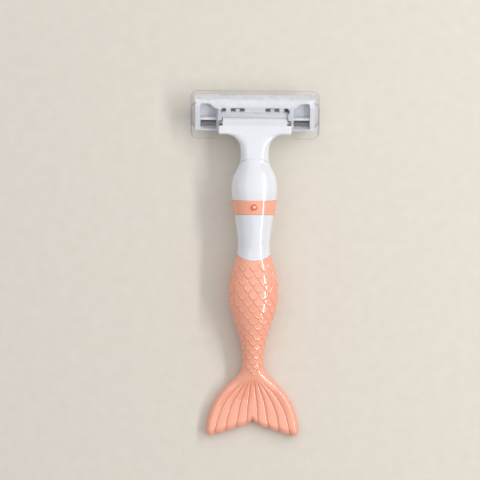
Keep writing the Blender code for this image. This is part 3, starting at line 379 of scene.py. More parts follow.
# Dark spacer plastic, also the colour of blocks that paint the shade inside the cartridge's openings
SPACER_AND_PAINTED_SHADE = plastic("spacer_and_painted_shade_look", (0.15, 0.145, 0.14), 0.5)
STRIP = plastic("strip_look", (0.62, 0.80, 0.74), 0.55, grain=500, depth=0.00006)
BLADE_STEEL = steel("blade_steel_look", (0.66, 0.67, 0.69), 0.22, 0.000004)
PIN_STEEL = steel("pin_steel_look", (0.60, 0.61, 0.63), 0.25, 0.000003)
CLIP_STEEL = steel("clip_steel_look", (0.42, 0.38, 0.36), 0.35, 0.000003)
# The clear cover's lavender bends are a painted tint for the light they reflect and refract
CLEAR = clear("clear_look", (0.98, 0.985, 1.0), (0.50, 0.52, 0.74))


# Building pieces

def finish_piece(obj, look, body, replaced, sharp=radians(38)):
    obj.data.materials.append(look)
    obj.data.shade_smooth()
    obj.data.set_sharp_from_angle(angle=sharp)
    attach(obj, body)
    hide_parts(replaced)


def linked(name, data):
    obj = bpy.data.objects.new(name, data)
    bpy.context.scene.collection.objects.link(obj)
    return obj


def make_mesh(name, points, faces):
    """An object from points in millimetres and faces, whose normals face out."""
    data = bpy.data.meshes.new(name)
    data.from_pydata([tuple(p) for p in np.asarray(points) * MM], [], faces)
    bm = bmesh.new()
    bm.from_mesh(data)
    bmesh.ops.recalc_face_normals(bm, faces=bm.faces)
    bm.to_mesh(data)
    bm.free()
    return linked(name, data)


def grid_faces(rows, columns, closed=False):
    """Faces between neighbours in a grid of points; a closed one runs round both ways to its start."""
    faces = []
    for row in range(rows - 1 + closed):
        here, after = row * columns, (row + 1) % rows * columns
        for column in range(columns - 1 + closed):
            right = (column + 1) % columns
            faces.append((here + column, here + right, after + right, after + column))
    return faces


def half_shell(name, arcs, side, spacing):
    """A closed half shell: rows of arc points, a parting face with points at a spacing of columns, and under
    the last row, whose rim may be scalloped, a wall with a point below each column."""
    rows, columns = arcs.shape[:2]
    parted = arcs.copy()
    parted[..., 2] = shell_height(arcs[..., 1], 0, side)
    floor = parted[:-1, np.arange(spacing, columns - 1, spacing)]
    points = np.concatenate([arcs.reshape(-1, 3), floor.reshape(-1, 3), parted[-1, 1:-1]])
    base = rows * columns
    inner = floor.shape[1]
    faces = grid_faces(rows, columns)

    def between(row, start, count):
        return [row * columns] + list(range(start, start + count)) + [row * columns + columns - 1]

    def floor_row(row):
        return between(row, base + row * inner, inner)

    for row in range(rows - 2):
        here, after = floor_row(row), floor_row(row + 1)
        for index in range(len(here) - 1):
            faces.append((here[index + 1], here[index], after[index], after[index + 1]))
    rim = between(rows - 1, base + (rows - 1) * inner, columns - 2)
    faces.append(floor_row(rows - 2) + rim[::-1])
    top = [(rows - 1) * columns + column for column in range(columns)]
    for column in range(columns - 1):
        corners = (top[column], top[column + 1], rim[column + 1], rim[column])
        faces.append(tuple(dict.fromkeys(corners)))
    faces.append(list(range(columns)) + floor_row(0)[::-1][1:-1])
    return make_mesh(name, points, faces)


def set_attribute(obj, name, values):
    """A float for each point; points past the list keep 0."""
    made = obj.data.attributes.new(name, "FLOAT", "POINT")
    full = np.zeros(len(obj.data.vertices), dtype=np.float32)
    full[:len(values)] = values
    made.data.foreach_set("value", full)


# The tail's scales

# Minus Y with the row whose tips lie there, and with the scales' spacing
SCALE_ROWS = (
    (0.42, 0), (7.99, 3), (15.38, 6), (21.72, 9), (27.32, 12), (32.35, 15), (37.42, 18), (40.02, 20),
)
SCALE_SPACING = (
    (0.0, 3.64), (15.4, 3.64), (21.7, 3.51), (25.6, 3.20), (28.8, 2.89), (32.3, 2.57), (40.0, 2.46),
)

# A scale's edge: its share of a round, its point's power, and its rise to the sides in rows
SCALE_ROUND = 0.5
POINT_POWER = 1.6
SCALE_RISE = 0.92
SIDE_LIMIT = 0.995

# A row's least and greatest length, the first row's, and a step to measure it with
ROW_LENGTH = (1.2, 2.6)
FIRST_ROW_LENGTH = 2.5
MEASURE_STEP = 0.1
LEAST_ROWS = 0.02

# A scale's lift and its fall at the sides, with the rows where they set in
SCALE_LIFT = 0.25
LIFT_START = 0.9
LIFT_RUN = 1.9
SCALE_FALL = 0.07
FALL_ROWS = (-0.7, 0.4)

# A scale's rim, its edge's drop and the painted shade in the groove past it, with their widths
SCALE_RIM = 0.12
RIM_INSET = 0.30
RIM_WIDTH = 0.17
EDGE_DROP = 0.13
EDGE_WIDTH = 0.13
GROOVE_WIDTH = 0.20
GROOVE_SHADE = 0.45

# Rows where the scales begin, their share before, the rows where they end, and the end's slant
BEGIN_ROWS = (-1.2, 0.2)
BEGIN_SHARE = 0.6
END_ROWS = (19.5, 20.6)
END_SLANT = 2.3

# More than any distance between scales
FAR = 9.0


def scale_edge(offset):
    """How far up, in rows, a scale's edge lies at offsets from its middle, and how steeply."""
    side = np.minimum(SIDE_LIMIT, np.abs(2 * offset))
    straight = np.sqrt(1 - side ** 2)
    rise = SCALE_ROUND * (1 - straight) + (1 - SCALE_ROUND) * side ** POINT_POWER
    steep = SCALE_ROUND * side / straight + (1 - SCALE_ROUND) * POINT_POWER * side ** (POINT_POWER - 1)
    return SCALE_RISE * rise, SCALE_RISE * steep


def row_length(y):
    """Length along Y of the row of scales at a place."""
    rows = curve(SCALE_ROWS, MEASURE_STEP - y) - curve(SCALE_ROWS, -MEASURE_STEP - y)
    return np.clip(2 * MEASURE_STEP / np.maximum(LEAST_ROWS, rows), *ROW_LENGTH)


def scale_height(rows, index, offset, inside):
    """Height of a scale at offsets from its middle and distances inside its edge."""
    lift = SCALE_LIFT * np.clip((rows - (index - LIFT_START)) / LIFT_RUN, 0, 1)
    crown = -SCALE_FALL * (2 * offset) ** 2 * smooth_step(*FALL_ROWS, rows - index)
    rim = SCALE_RIM * np.exp(-((inside - RIM_INSET) / RIM_WIDTH) ** 2)
    rounding = -EDGE_DROP * np.exp(-(inside / EDGE_WIDTH) ** 2)
    return lift + crown + rim + rounding


def scale_field(reach, y):
    """Relief of the overlapping scales in millimetres, and how much painted shade each place takes in the
    groove past a scale's edge.
    """
    spacing = curve(SCALE_SPACING, -y)
    rows = curve(SCALE_ROWS, -y) + np.minimum(0, -y - SCALE_ROWS[0][0]) / FIRST_ROW_LENGTH
    length = row_length(y)
    u = reach / spacing
    relief = hollow = np.zeros_like(rows)
    past = np.full_like(rows, FAR)
    done = np.zeros(rows.shape, dtype=bool)
    for step in (-1, 0, 1, 2):
        index = np.floor(rows) + step
        offset = u + np.mod(index, 2) / 2
        offset = offset - np.round(offset)
        rise, steep = scale_edge(offset)
        edge = np.where(index < 0, -FAR, index + 1 - rise)
        slant = np.sqrt(1 + (steep * length * 2 / spacing) ** 2)
        inside = (edge - rows) * length / slant
        here = ~done & (rows <= edge)
        relief = np.where(here, scale_height(rows, index, offset, inside), relief)
        # Painted shade just past the edges of the scales above, in the groove
        hollow = np.where(here, GROOVE_SHADE * np.exp(-(past / GROOVE_WIDTH) ** 2), hollow)
        done |= here
        past = np.where(~done & (index >= 0), np.minimum(past, -inside), past)
    fade = 1 - smooth_step(*END_ROWS, rows + END_SLANT * np.abs(u))
    start = smooth_step(*BEGIN_ROWS, rows)
    return relief * fade * mix(BEGIN_SHARE, 1, start), hollow * fade


# The tail: columns of points from right to left, as many on each of the fin's nine lobes

LOBE_COLUMNS = 20
COLUMNS = 9 * LOBE_COLUMNS
MIDDLE_LOBE = 4

# Rows before the first level row, that row's margin, and the height where scales fade
EASING_ROWS = 8
TAIL_MARGIN = 0.15
SIDE_FADE = 0.10

# Shares of the fin's length: first row, rounded rim, and where it spreads, flattens and is grooved
FIN_FIRST_RUN = 0.01
FIN_ROWS = 110
FIN_RIM = 0.10
FIN_FLAT = 1 - FIN_RIM
RIM_ROWS = 25
FIN_SPREAD = (0, 0.19)
FIN_BLEND = (0.15, 0.34)
FIN_GROOVED = (0.17, 0.25)

# The lobes' bulges past their grooves, their height at grooves and rim, and the back's steep sides
LOBE_BULGES = (0.022, 0.028, 0.028, 0.028, 0.012)
LOBE_EDGE_LEVEL = 0.84
RIM_LEVEL = 0.25
BACK_STEEPNESS = 3.2

# The grooves' shade, with its width and power, and the least width of a lobe for it
FIN_SHADE = 0.9
FIN_SHADE_WIDTH = 0.20
FIN_SHADE_POWER = 1.5
LEAST_LOBE_WIDTH = 0.3

# The scales run on over the fin's start: to this Y, and a little more closely
SCALES_END_Y = -41.5
FIN_REACH = 1.04


def arc_reach(x, z):
    """Distance along each arc from its middle column."""
    step = np.sqrt(np.diff(x, axis=1) ** 2 + np.diff(z, axis=1) ** 2)
    reach = np.concatenate([np.zeros((len(x), 1)), np.cumsum(step, axis=1)], axis=1)
    return reach[:, COLUMNS // 2][:, None] - reach


def tail_rows(side, level_ys):
    """Arcs over the tail at places along it; the first follows the line where the torso begins."""
    across, up = half_turn(COLUMNS)
    first = boundary(across) - TAIL_GAP
    level = [np.full_like(across, y) for y in level_ys]
    eased = [mix(first, level[0], (number / EASING_ROWS) ** 2) for number in range(EASING_ROWS)]
    y = np.array(eased + level)
    bump = hollow = np.zeros_like(y)
    if side > 0:
        field = scale_field(arc_reach(*raised(y, across, up, 0)), y)
        bump, hollow = (values * smooth_step(0, SIDE_FADE, up) for values in field)
    x, z = raised(y, across, up, bump - edge_rounding(first - y))
    return np.stack([x, y, shell_height(y, np.maximum(0, z), side)], axis=-1), hollow


def fin_point(run):
    """The fin's plan at runs from its start to its rim: X, Y, place in the lobe, lobe and its width."""
    index = np.arange(COLUMNS + 1)
    sign = np.where(index <= COLUMNS / 2, 1, -1)
    column = np.minimum(index, COLUMNS - index)
    lobe = np.minimum(column // LOBE_COLUMNS, MIDDLE_LOBE)
    share = column / LOBE_COLUMNS - lobe
    middle = lobe == MIDDLE_LOBE
    following = np.minimum(lobe + 1, MIDDLE_LOBE)
    grooves = [tuple(zip(GROOVE_PLACES + last_places, path)) for last_places, path in FIN_GROOVES]
    paths = [FIN_EDGE_SHARES, *grooves]
    ends = np.array([path[-1][0] for path in paths])
    lines = np.array([curve(path, path[-1][0] * run) for path in paths])
    first = lines[lobe].T
    second = np.where(middle, 0, lines[following].T)
    place = np.where(middle, share * 2, share)
    x = mix(first, second, place)
    bulge = np.array(LOBE_BULGES)[lobe] * 4 * place * (1 - place)
    length = mix(ends[lobe], np.where(middle, FIN_NOTCH, ends[following]), place) + bulge
    y = FIN_START_Y - FIN_LENGTH * np.minimum(1, length) * run[:, None]
    lobe_width = np.abs(first - second) * FIN_HALF * np.where(middle, 2, 1)
    return x * sign * FIN_HALF, y, share, lobe, lobe_width


def lobe_profile(share, lobe):
    """Height over the lobes: arched between the grooves, and low at the fin's outer edge."""
    low = LOBE_EDGE_LEVEL * np.where(lobe == 0, smooth_step(0, 1, share), 1)
    crown = np.maximum(0, 1 - (2 * share - 1) ** 2) ** 0.5
    return mix(low, 1, crown)


def groove_shade(share, lobe, lobe_width):
    """How much painted shade each place of the fin takes in its groove."""
    nearest = np.where(lobe == 0, 1 - share, np.minimum(share, 1 - share))
    nearest = np.where(lobe == MIDDLE_LOBE, share, nearest)
    distance = nearest * np.maximum(lobe_width, LEAST_LOBE_WIDTH)
    return FIN_SHADE * np.exp(-(distance / FIN_SHADE_WIDTH) ** FIN_SHADE_POWER)


def fin_rows(side):
    """Arcs over the fin, from the tail's round section to lobes with a rounded rim."""
    across, up = half_turn(COLUMNS)
    rim_turn = np.linspace(0, pi / 2, RIM_ROWS + 1)[1:]
    flat_run = np.linspace(FIN_FIRST_RUN, FIN_FLAT, FIN_ROWS)
    run = np.concatenate([flat_run, FIN_FLAT + FIN_RIM * np.sin(rim_turn)])
    fin_x, y, share, lobe, lobe_width = fin_point(run)
    run = run[:, None]
    x = mix(half_width(y) * across, fin_x, smooth_step(*FIN_SPREAD, run))
    body_z = half_depth(y) * np.sqrt(np.maximum(0, 1 - (x / half_width(y)) ** 2))
    rounding = np.maximum(0, run - FIN_FLAT) / FIN_RIM
    rim = mix(RIM_LEVEL, 1, np.sqrt(np.maximum(0, 1 - rounding ** 2)))
    if side > 0:
        fin_z = FIN_RISE * lobe_profile(share, lobe) * rim
        hollow = groove_shade(share, lobe, lobe_width) * smooth_step(*FIN_GROOVED, run)
    else:
        edge = np.minimum(1, up * BACK_STEEPNESS)
        profile = np.sqrt(np.maximum(0, 1 - (1 - edge) ** 2))
        fin_z = (middle_height(y) - SEAM_GAP / 2) * profile * rim
        hollow = np.zeros_like(x)
    z = mix(body_z, fin_z, smooth_step(*FIN_BLEND, run))
    return np.stack([x, y, np.maximum(0, shell_height(y, z, side))], axis=-1), hollow


def tail_shell(name, replaced, side, rows):
    """Half of the tail and the fin; the front half, whose side is 1, has the scales."""
    level_ys = np.linspace(BOUNDARY_Y - BOUNDARY_DIP - TAIL_MARGIN, FIN_START_Y, rows)
    body, body_groove_shade = tail_rows(side, level_ys)
    fin, fin_groove_shade = fin_rows(side)
    if side > 0:
        bump, hollow = scale_field(fin[..., 0] * FIN_REACH, fin[..., 1])
        keep = fin[..., 1] > SCALES_END_Y
        fin[..., 2] += bump * keep
        fin_groove_shade = np.maximum(fin_groove_shade, hollow * keep)
    obj = half_shell(name, np.concatenate([body, fin]), side, LOBE_COLUMNS // 2)
    # The attribute "hollow" carries the painted shade of the scales' and the fin's grooves
    set_attribute(obj, "hollow", np.concatenate([body_groove_shade, fin_groove_shade]).ravel())
    finish_piece(obj, TAIL_CORAL, "handle", replaced, sharp=radians(60))


# The torso, whose groove is a little wider and deeper than the belt

TORSO_COLUMNS = 120
UPPER_ROWS = 60
GROOVE_ROWS = 4
LOWER_ROWS = 70
BELT_DIP = 0.35
BELT_ROOM = 0.03
BELT_ROOM_BELOW = 0.1
ROW_EASING = 0.85


def torso_stretch(start, end, count, depth=0):
    """Rows from one line round the torso to another, closer at both ends, and how far in they lie: by the
    groove's depth, or by the rounding of both edges."""
    rows, insets = [], []
    for number in range(count):
        share = number / (count - 1)
        y = mix(start, end, mix(share, 0.5 - 0.5 * cos(pi * share), ROW_EASING))
        near = np.minimum(np.abs(y - start), np.abs(y - end))
        rows.append(y)
        insets.append(np.full_like(near, depth) if depth else edge_rounding(near))
    return rows, insets


def torso_shell(name, replaced, side):
    across, up = half_turn(TORSO_COLUMNS)
    crease_line = crease(across) - LOOK_GAP / 2
    groove_top = BELT_TOP_Y + BELT_ROOM - BELT_DIP * (1 - across ** 2)
    groove_bottom = np.full_like(across, BELT_BOTTOM_Y - BELT_ROOM)
    tail_line = boundary(across) + LOOK_GAP
    groove_depth = BELT_THICKNESS - BELT_PROUD + BELT_ROOM_BELOW
    stretches = [
        torso_stretch(crease_line, groove_top, UPPER_ROWS),
        torso_stretch(groove_top, groove_bottom, GROOVE_ROWS, groove_depth),
        torso_stretch(groove_bottom, tail_line, LOWER_ROWS),
    ]
    y, inset = (np.concatenate(parts) for parts in zip(*stretches))
    x, z = raised(y, across, up, -inset)
    arcs = np.stack([x, y, shell_height(y, np.maximum(0, z), side)], axis=-1)
    obj = half_shell(name, arcs, side, TORSO_COLUMNS // 10)
    finish_piece(obj, WHITE_PLASTIC, "handle", replaced)


# The belt and its jewel

BELT_COLUMNS = 160
BELT_ROWS = 14
BELT_EDGE = 0.14
BELT_EDGE_STEPS = 6


def belt_path():
    """The belt's section, down its face and back up inside: Y, and offset outwards."""
    outer, inner = BELT_PROUD, BELT_PROUD - BELT_THICKNESS
    top, bottom, foot = BELT_TOP_Y - BELT_EDGE, BELT_BOTTOM_Y + BELT_EDGE, outer - BELT_EDGE
    turns = turns_to(pi / 2, BELT_EDGE_STEPS)
    path = [(top + BELT_EDGE * cos(turn), foot + BELT_EDGE * sin(turn)) for turn in turns]
    path += [(y, outer) for y in np.linspace(top, bottom, BELT_ROWS + 2)[1:-1]]
    path += [(bottom - BELT_EDGE * sin(turn), foot + BELT_EDGE * cos(turn)) for turn in turns]
    return path + [(BELT_BOTTOM_Y, inner), (BELT_TOP_Y, inner)]


def make_belt():
    angle = 2 * pi * np.arange(BELT_COLUMNS) / BELT_COLUMNS
    across, up = np.cos(angle), np.sin(angle)
    rings = []
    for level, offset in belt_path():
        y = level - BELT_DIP * (1 - across ** 2) * (level - BELT_BOTTOM_Y) / BELT_HEIGHT
        x, z = raised(y, across, up, offset, SEAM_GAP / 2)
        rings.append(np.stack([x, y, middle_height(y) + z], axis=-1))
    obj = make_mesh("belt_ring", np.concatenate(rings), grid_faces(len(rings), BELT_COLUMNS, closed=True))
    finish_piece(obj, BELT_CORAL, "handle", "belt_band")


# The jewel: a ring with a round crest on a stem in the belt, and a bead in the ring's well

GEM_OUTER = 1.075
GEM_INNER = 0.5
GEM_RISE = 0.55
GEM_FOOT = 0.22
GEM_WELL = 0.16
GEM_WELL_GAP = 0.05
GEM_CHAMFER = 0.04
GEM_BASE = 0.02
GEM_STEM = 0.62
GEM_STEM_DEPTH = 0.6
CREST_STEPS = 12
BEAD_RADIUS = 0.52
BEAD_HALF = 0.36
BEAD_Z = 0.48
BEAD_STEPS = 16
TURNED_SEGMENTS = 64


def turned(name, profile, centre, look, replaced):
    """A profile of radius and height, from the axis to the axis, turned about Z."""
    angle = 2 * pi * np.arange(TURNED_SEGMENTS) / TURNED_SEGMENTS
    points = [(0, 0, profile[0][1])]
    for radius, z in profile[1:-1]:
        points += [(radius * cos(turn), radius * sin(turn), z) for turn in angle]
    points.append((0, 0, profile[-1][1]))
    rows = range(1, len(points) - 1, TURNED_SEGMENTS)
    faces = []
    for index in range(TURNED_SEGMENTS):
        after = (index + 1) % TURNED_SEGMENTS
        faces.append((0, 1 + index, 1 + after))
        faces.append((len(points) - 1, rows[-1] + after, rows[-1] + index))
        for row, below in zip(rows, rows[1:]):
            faces.append((row + index, below + index, below + after, row + after))
    obj = make_mesh(name, np.add(points, centre), faces)
    finish_piece(obj, look, "handle", replaced)


def jewel_ring_profile():
    crest = (GEM_OUTER + GEM_INNER) / 2
    half = (GEM_OUTER - GEM_INNER) / 2
    turns = turns_to(pi, CREST_STEPS)
    arch = [(crest - half * cos(turn), GEM_FOOT + (GEM_RISE - GEM_FOOT) * sin(turn)) for turn in turns]
    foot = [(GEM_OUTER, GEM_CHAMFER), (GEM_OUTER - GEM_CHAMFER, GEM_BASE), (GEM_STEM, GEM_BASE)]
    stem = [(GEM_STEM, -GEM_STEM_DEPTH), (0, -GEM_STEM_DEPTH)]
    return [(0, GEM_WELL), (GEM_INNER - GEM_WELL_GAP, GEM_WELL)] + arch + foot + stem


def jewel_bead_profile():
    turns = turns_to(pi, BEAD_STEPS)[1:-1]
    round_part = [(BEAD_RADIUS * sin(turn), BEAD_Z + BEAD_HALF * cos(turn)) for turn in turns]
    return [(0, BEAD_Z + BEAD_HALF)] + round_part + [(0, BEAD_Z - BEAD_HALF)]


def make_jewel():
    belt_front = middle_height(BELT_MIDDLE_Y) + half_depth(BELT_MIDDLE_Y) + SEAM_GAP / 2 + BELT_PROUD
    centre = (0, BELT_MIDDLE_Y, float(belt_front))
    turned("jewel_ring", jewel_ring_profile(), centre, ORANGE, "gem_setting")
    turned("jewel_bead", jewel_bead_profile(), centre, PALE, "gem_bead")


# Closed solids, cut and fused

def apply_modifiers(obj):
    """Turns the object with its modifiers into plain mesh data."""
    graph = bpy.context.evaluated_depsgraph_get()
    graph.update()
    data = bpy.data.meshes.new_from_object(obj.evaluated_get(graph))
    old = obj.data
    obj.modifiers.clear()
    obj.data = data
    bpy.data.meshes.remove(old)


def add_box(bm, low, high, rounding=0.0):
    middle = (Vector(low) + Vector(high)) / 2
    size = Vector(high) - Vector(low)
    made = bmesh.ops.create_cube(bm, size=1, matrix=Matrix.Translation(middle) @ Matrix.Diagonal((*size, 1)))
    if rounding:
        edges = list({edge for vert in made["verts"] for edge in vert.link_edges})
        bmesh.ops.bevel(bm, geom=edges, offset=rounding, segments=4, profile=0.5, affect="EDGES")


def add_loft(bm, rings):
    """A closed skin over rings that have as many points each."""
    rows = [[bm.verts.new(point) for point in ring] for ring in rings]
    for first, second in zip(rows, rows[1:]):
        for index in range(len(first)):
            after = (index + 1) % len(first)
            bm.faces.new((first[index], first[after], second[after], second[index]))
    bm.faces.new(rows[0][::-1])
    bm.faces.new(rows[-1])


def add_prism(bm, outline, low, high, axis):
    """An outline drawn out along X, its points in the plane across it, or along Z."""
    def corner(point, end):
        return (end, *point) if axis == "X" else (*point, end)

    ends = [[bm.verts.new(corner(point, end)) for point in outline] for end in (low, high)]
    bm.faces.new(ends[0])
    bm.faces.new(ends[1][::-1])
    for index in range(len(outline)):
        after = (index + 1) % len(outline)
        bm.faces.new((ends[0][index], ends[1][index], ends[1][after], ends[0][after]))


def object_from(bm, name, turn=None):
    """The bmesh, in millimetres, as an object in metres; turn places it first."""
    bmesh.ops.recalc_face_normals(bm, faces=bm.faces)
    matrix = Matrix.Scale(MM, 4) @ (turn or Matrix.Identity(4))
    bmesh.ops.transform(bm, matrix=matrix, verts=bm.verts)
    data = bpy.data.meshes.new(name)
    bm.to_mesh(data)
    bm.free()
    return linked(name, data)


def carve(obj, cutters, operation="DIFFERENCE"):
    for cutter in cutters:
        change = obj.modifiers.new("carve", "BOOLEAN")
        change.operation = operation
        change.solver = "EXACT"
        change.object = cutter
    apply_modifiers(obj)
    for cutter in cutters:
        bpy.data.objects.remove(cutter, do_unlink=True)


def bevel(obj, width, segments, angle=radians(40)):
    change = obj.modifiers.new("soften", "BEVEL")
    change.width = width * MM
    change.segments = segments
    change.limit_method = "ANGLE"
    change.angle_limit = angle


def soften(obj, width, segments, angle=radians(40)):
    bevel(obj, width, segments, angle)
    apply_modifiers(obj)


# The head: a T-bar with wings, and a neck

T_BAR_HALF = 11.35
T_BAR_RADIUS = 1.62
T_BAR_STEPS = 24
WING_HALF = 12.85
WING_Y = (-4.2, -1.1)
WING_BACK = 0.85
WING_FACE = 2.2
WING_ROUND = 0.6

# The corners of the T-bar's face: inset from its far side, and rise over the pivot
T_BAR_FACE = ((0, 0.9), (0.46, 1.48), (0.9, 2.2))
T_BAR_NEAR_RISE = 1.75

# The neck's half width at shares of its length, and its depths and lift, with shares where these settle
NECK_WIDTHS = (
    (0.00, 10.2), (0.12, 9.9), (0.142, 9.35), (0.16, 8.4), (0.20, 7.43), (0.25, 6.74),
    (0.33, 5.97), (0.42, 5.40), (0.54, 5.07), (0.67, 4.93), (0.85, 4.95), (1.00, 5.05),
)
NECK_START = 2.65
NECK_COLUMNS = 96
NECK_ROWS = 56
NECK_DEPTHS = (0.75, 2.85)
DEPTH_END = 0.4
NECK_LIFT = 0.95
LIFT_END = 0.5
FACE_INSET = 0.05

# The neck's squareness, its fit to the torso's crease, and its raised collar
NECK_POWER = 0.72
NECK_FIT = 0.98
COLLAR = 0.14
COLLAR_START = (0.885, 0.905)

# The neck's flat front panel as a share of its width, and how round the shoulders are
PANEL_SHARE = 0.42
PANEL_ROUND = 1.8

# Size of the grid that fuses the head, and passes that smooth it
FUSE_GRID = 0.09
SMOOTH_PASSES = 3


def t_bar_outline():
    """The T-bar's section: round underneath, and cut back on its face."""
    turns = turns_to(pi, T_BAR_STEPS)
    under = [(PIVOT_Y - T_BAR_RADIUS * cos(turn), PIVOT_Z - T_BAR_RADIUS * sin(turn)) for turn in turns]
    face = [(PIVOT_Y + T_BAR_RADIUS - inset, PIVOT_Z + rise) for inset, rise in T_BAR_FACE]
    return under + face + [(PIVOT_Y - T_BAR_RADIUS, PIVOT_Z + T_BAR_NEAR_RISE)]


def neck_rings():
    """Rings round the neck, from the wings to the torso's crease."""
    angle = 2 * pi * np.arange(NECK_COLUMNS) / NECK_COLUMNS
    across = np.sign(np.cos(angle)) * np.abs(np.cos(angle)) ** NECK_POWER
    beside = np.maximum(0, np.abs(across) - PANEL_SHARE) / (1 - PANEL_SHARE)
    front = np.maximum(0, 1 - beside ** PANEL_ROUND) ** (1 / PANEL_ROUND)
    back = -np.abs(np.sin(angle)) ** NECK_POWER
    up = np.where(np.sin(angle) >= 0, front, back)
    start = PIVOT_Y - NECK_START
    end = crease(across * NECK_FIT) + LOOK_GAP / 2
    rings = []
    for share in np.arange(NECK_ROWS) / (NECK_ROWS - 1):
        y = start - (start - end) * share
        collar = COLLAR * smooth_step(*COLLAR_START, share)
        width = curve(NECK_WIDTHS, share) + collar
        depth = mix(*NECK_DEPTHS, smooth_step(0, DEPTH_END, share)) + collar
        lift = (PIVOT_Z + WING_BACK + NECK_LIFT - NECK_Z) * (1 - smooth_step(0, LIFT_END, share))
        centre = middle_height(y) + lift
        face = mix(PIVOT_Z + WING_FACE - FACE_INSET, NECK_Z + NECK_DEPTHS[1], share) + collar
        z = np.where(up > 0, centre + (face - centre) * up, centre + depth * up)
        rings.append(np.stack([width * across, y, z], axis=-1))
    return rings


def make_head():
    bm = bmesh.new()
    add_prism(bm, t_bar_outline(), -T_BAR_HALF, T_BAR_HALF, "X")
    low = (-WING_HALF, PIVOT_Y + WING_Y[0], PIVOT_Z + WING_BACK)
    high = (WING_HALF, PIVOT_Y + WING_Y[1], PIVOT_Z + WING_FACE)
    add_box(bm, low, high, WING_ROUND)
    add_loft(bm, neck_rings())
    head = object_from(bm, "head_moulding")
    change = head.modifiers.new("fuse", "REMESH")
    change.mode = "VOXEL"
    change.voxel_size = FUSE_GRID * MM
    smooth = head.modifiers.new("smooth", "SMOOTH")
    smooth.iterations = SMOOTH_PASSES
    apply_modifiers(head)
    finish_piece(head, WHITE_PLASTIC, "handle", "t_head", sharp=radians(70))


# The cartridge's frame: X across, V towards the top edge, W out of the back

CARTRIDGE = Matrix.Translation((0, BACK_Y, BACK_Z)) @ Matrix.Rotation(CARTRIDGE_TILT, 4, "X")

# How far cutters run past what they cut, and levels below and above all of the housing
OVERRUN = 1
BELOW_ALL = -END_WALL_DEPTH - OVERRUN
ABOVE_ALL = 2

# The housing: how round its corners are, how much its edges are softened, and its hollow
HOUSING_CORNERS = (0.5, 2.4, 0.8, 0.6)
HOUSING_SOFTENING = 0.12
END_THICKNESS = 2.2
HOLLOW_LOW = 1.1
HOLLOW_HIGH = 0.8
HOLLOW_W = -3.4
GUARD_STEP = 1.3
GUARD_STEP_W = -5.6

# Spans in V and W: the T-bar's channel, the bar beside it, the pin's blocks and pocket, the spring's
# undercut, and the lip along the channel
CHANNEL_HALF = 11.6
CHANNEL = ((-4.13, 0.05), (-1.7, ABOVE_ALL))
BAR = ((0.05, 2.15), (-1.6, 0.5))
BAR_OVERLAP = 0.2
BLOCK = ((-4.13, 3.7), (-1.7, 1.3))
BLOCK_WIDTH = 1.35
POCKET = ((PIVOT_V - 0.9, PIVOT_V + 1.3), (PIVOT_W - 0.3, ABOVE_ALL + OVERRUN))
POCKET_WIDTH = 1.2
UNDERCUT = ((1.7, 3.9), (-3.6, -0.3))
LIP = ((-0.03, 0.3), (-0.3, 0.46))

# Windows past the bar, at middles and half widths
WINDOWS = ((6.1, 2.45), (11.1, 0.9))
WINDOW = ((2.10, 3.48), (-1, ABOVE_ALL))

# End recesses with a slanted inner corner, a deep slot in each, and a rib over the slot
RECESS_X = (13.5, 19.3)
RECESS_V = (-4.9, 5.0)
RECESS_SLANT = (2.4, 2.0)
RECESS_CORNERS = (0.4, 0.4, 0.8, 1.2, 0.5)
RECESS_FLOOR = -2.5
SLOT_INSET = 0.15
SLOT = ((-4.86, -2.58), (-3.1, ABOVE_ALL))
RIB_INSET = -0.05
RIB = ((-1.4, -0.7), (-2.6, -0.5))

# Rinse holes in three groups of three
RINSE_GROUP = 5.8
RINSE_SPACING = 1.7
RINSE_HALF = 0.6
RINSE = ((-2.455, -1.455), (-4.9, -0.2))

# Blocks inside the housing, the dark ones painting the shade seen through its openings
STACK_GAP = 0.1
STACK = ((1.8, 3.8), (-3.3, -0.36))
INSERT_INSET = 0.2
CLIP = ((-4.82, -3.36), (-3.3, -2.65))
# A dark block that paints the shade in the slot
SLOT_SHADE_BLOCK = ((-3.34, -2.62), (-3.3, -2.8))
TAB_HALF = 0.81
TAB_NARROWING = 0.24
TAB = ((1.95, 3.14), (-0.5, -0.12))
PANE_HALF = 0.85
PANE = ((2.15, 3.4), (-0.9, -0.45))


def rounded(points, radii, steps=8):
    """A closed outline whose corners are rounded."""
    made = []
    for index, radius in enumerate(radii):
        corner = Vector(points[index])
        if radius == 0:
            made.append(tuple(corner))
            continue
        before = (Vector(points[index - 1]) - corner).normalized()
        after = (Vector(points[(index + 1) % len(points)]) - corner).normalized()
        half = before.angle(after) / 2
        run = radius / np.tan(half)
        centre = corner + (before + after).normalized() * (radius / sin(half))
        start = corner + before * run - centre
        end = corner + after * run - centre
        sweep = start.angle(end)
        for step in range(steps + 1):
            share = step / steps
            point = (start * sin((1 - share) * sweep) + end * sin(share * sweep)) / sin(sweep)
            made.append(tuple(centre + point))
    return made


def rectangle(x, v):
    return [(x[0], v[0]), (x[1], v[0]), (x[1], v[1]), (x[0], v[1])]


def both(half):
    """From one side to the other."""
    return -half, half


def about(middle, half):
    return middle - half, middle + half


def on_side(side, span, inset=0.0):
    """A span of X on one side of the middle, drawn in at both ends."""
    return tuple(sorted((side * (span[0] + inset), side * (span[1] - inset))))


def box_cutter(x, v, w):
    bm = bmesh.new()
    add_box(bm, *zip(x, v, w))
    return object_from(bm, "cutter", CARTRIDGE)


def prism(name, outline, low, high, axis="Z"):
    bm = bmesh.new()
    add_prism(bm, outline, low, high, axis)
    return object_from(bm, name, CARTRIDGE)


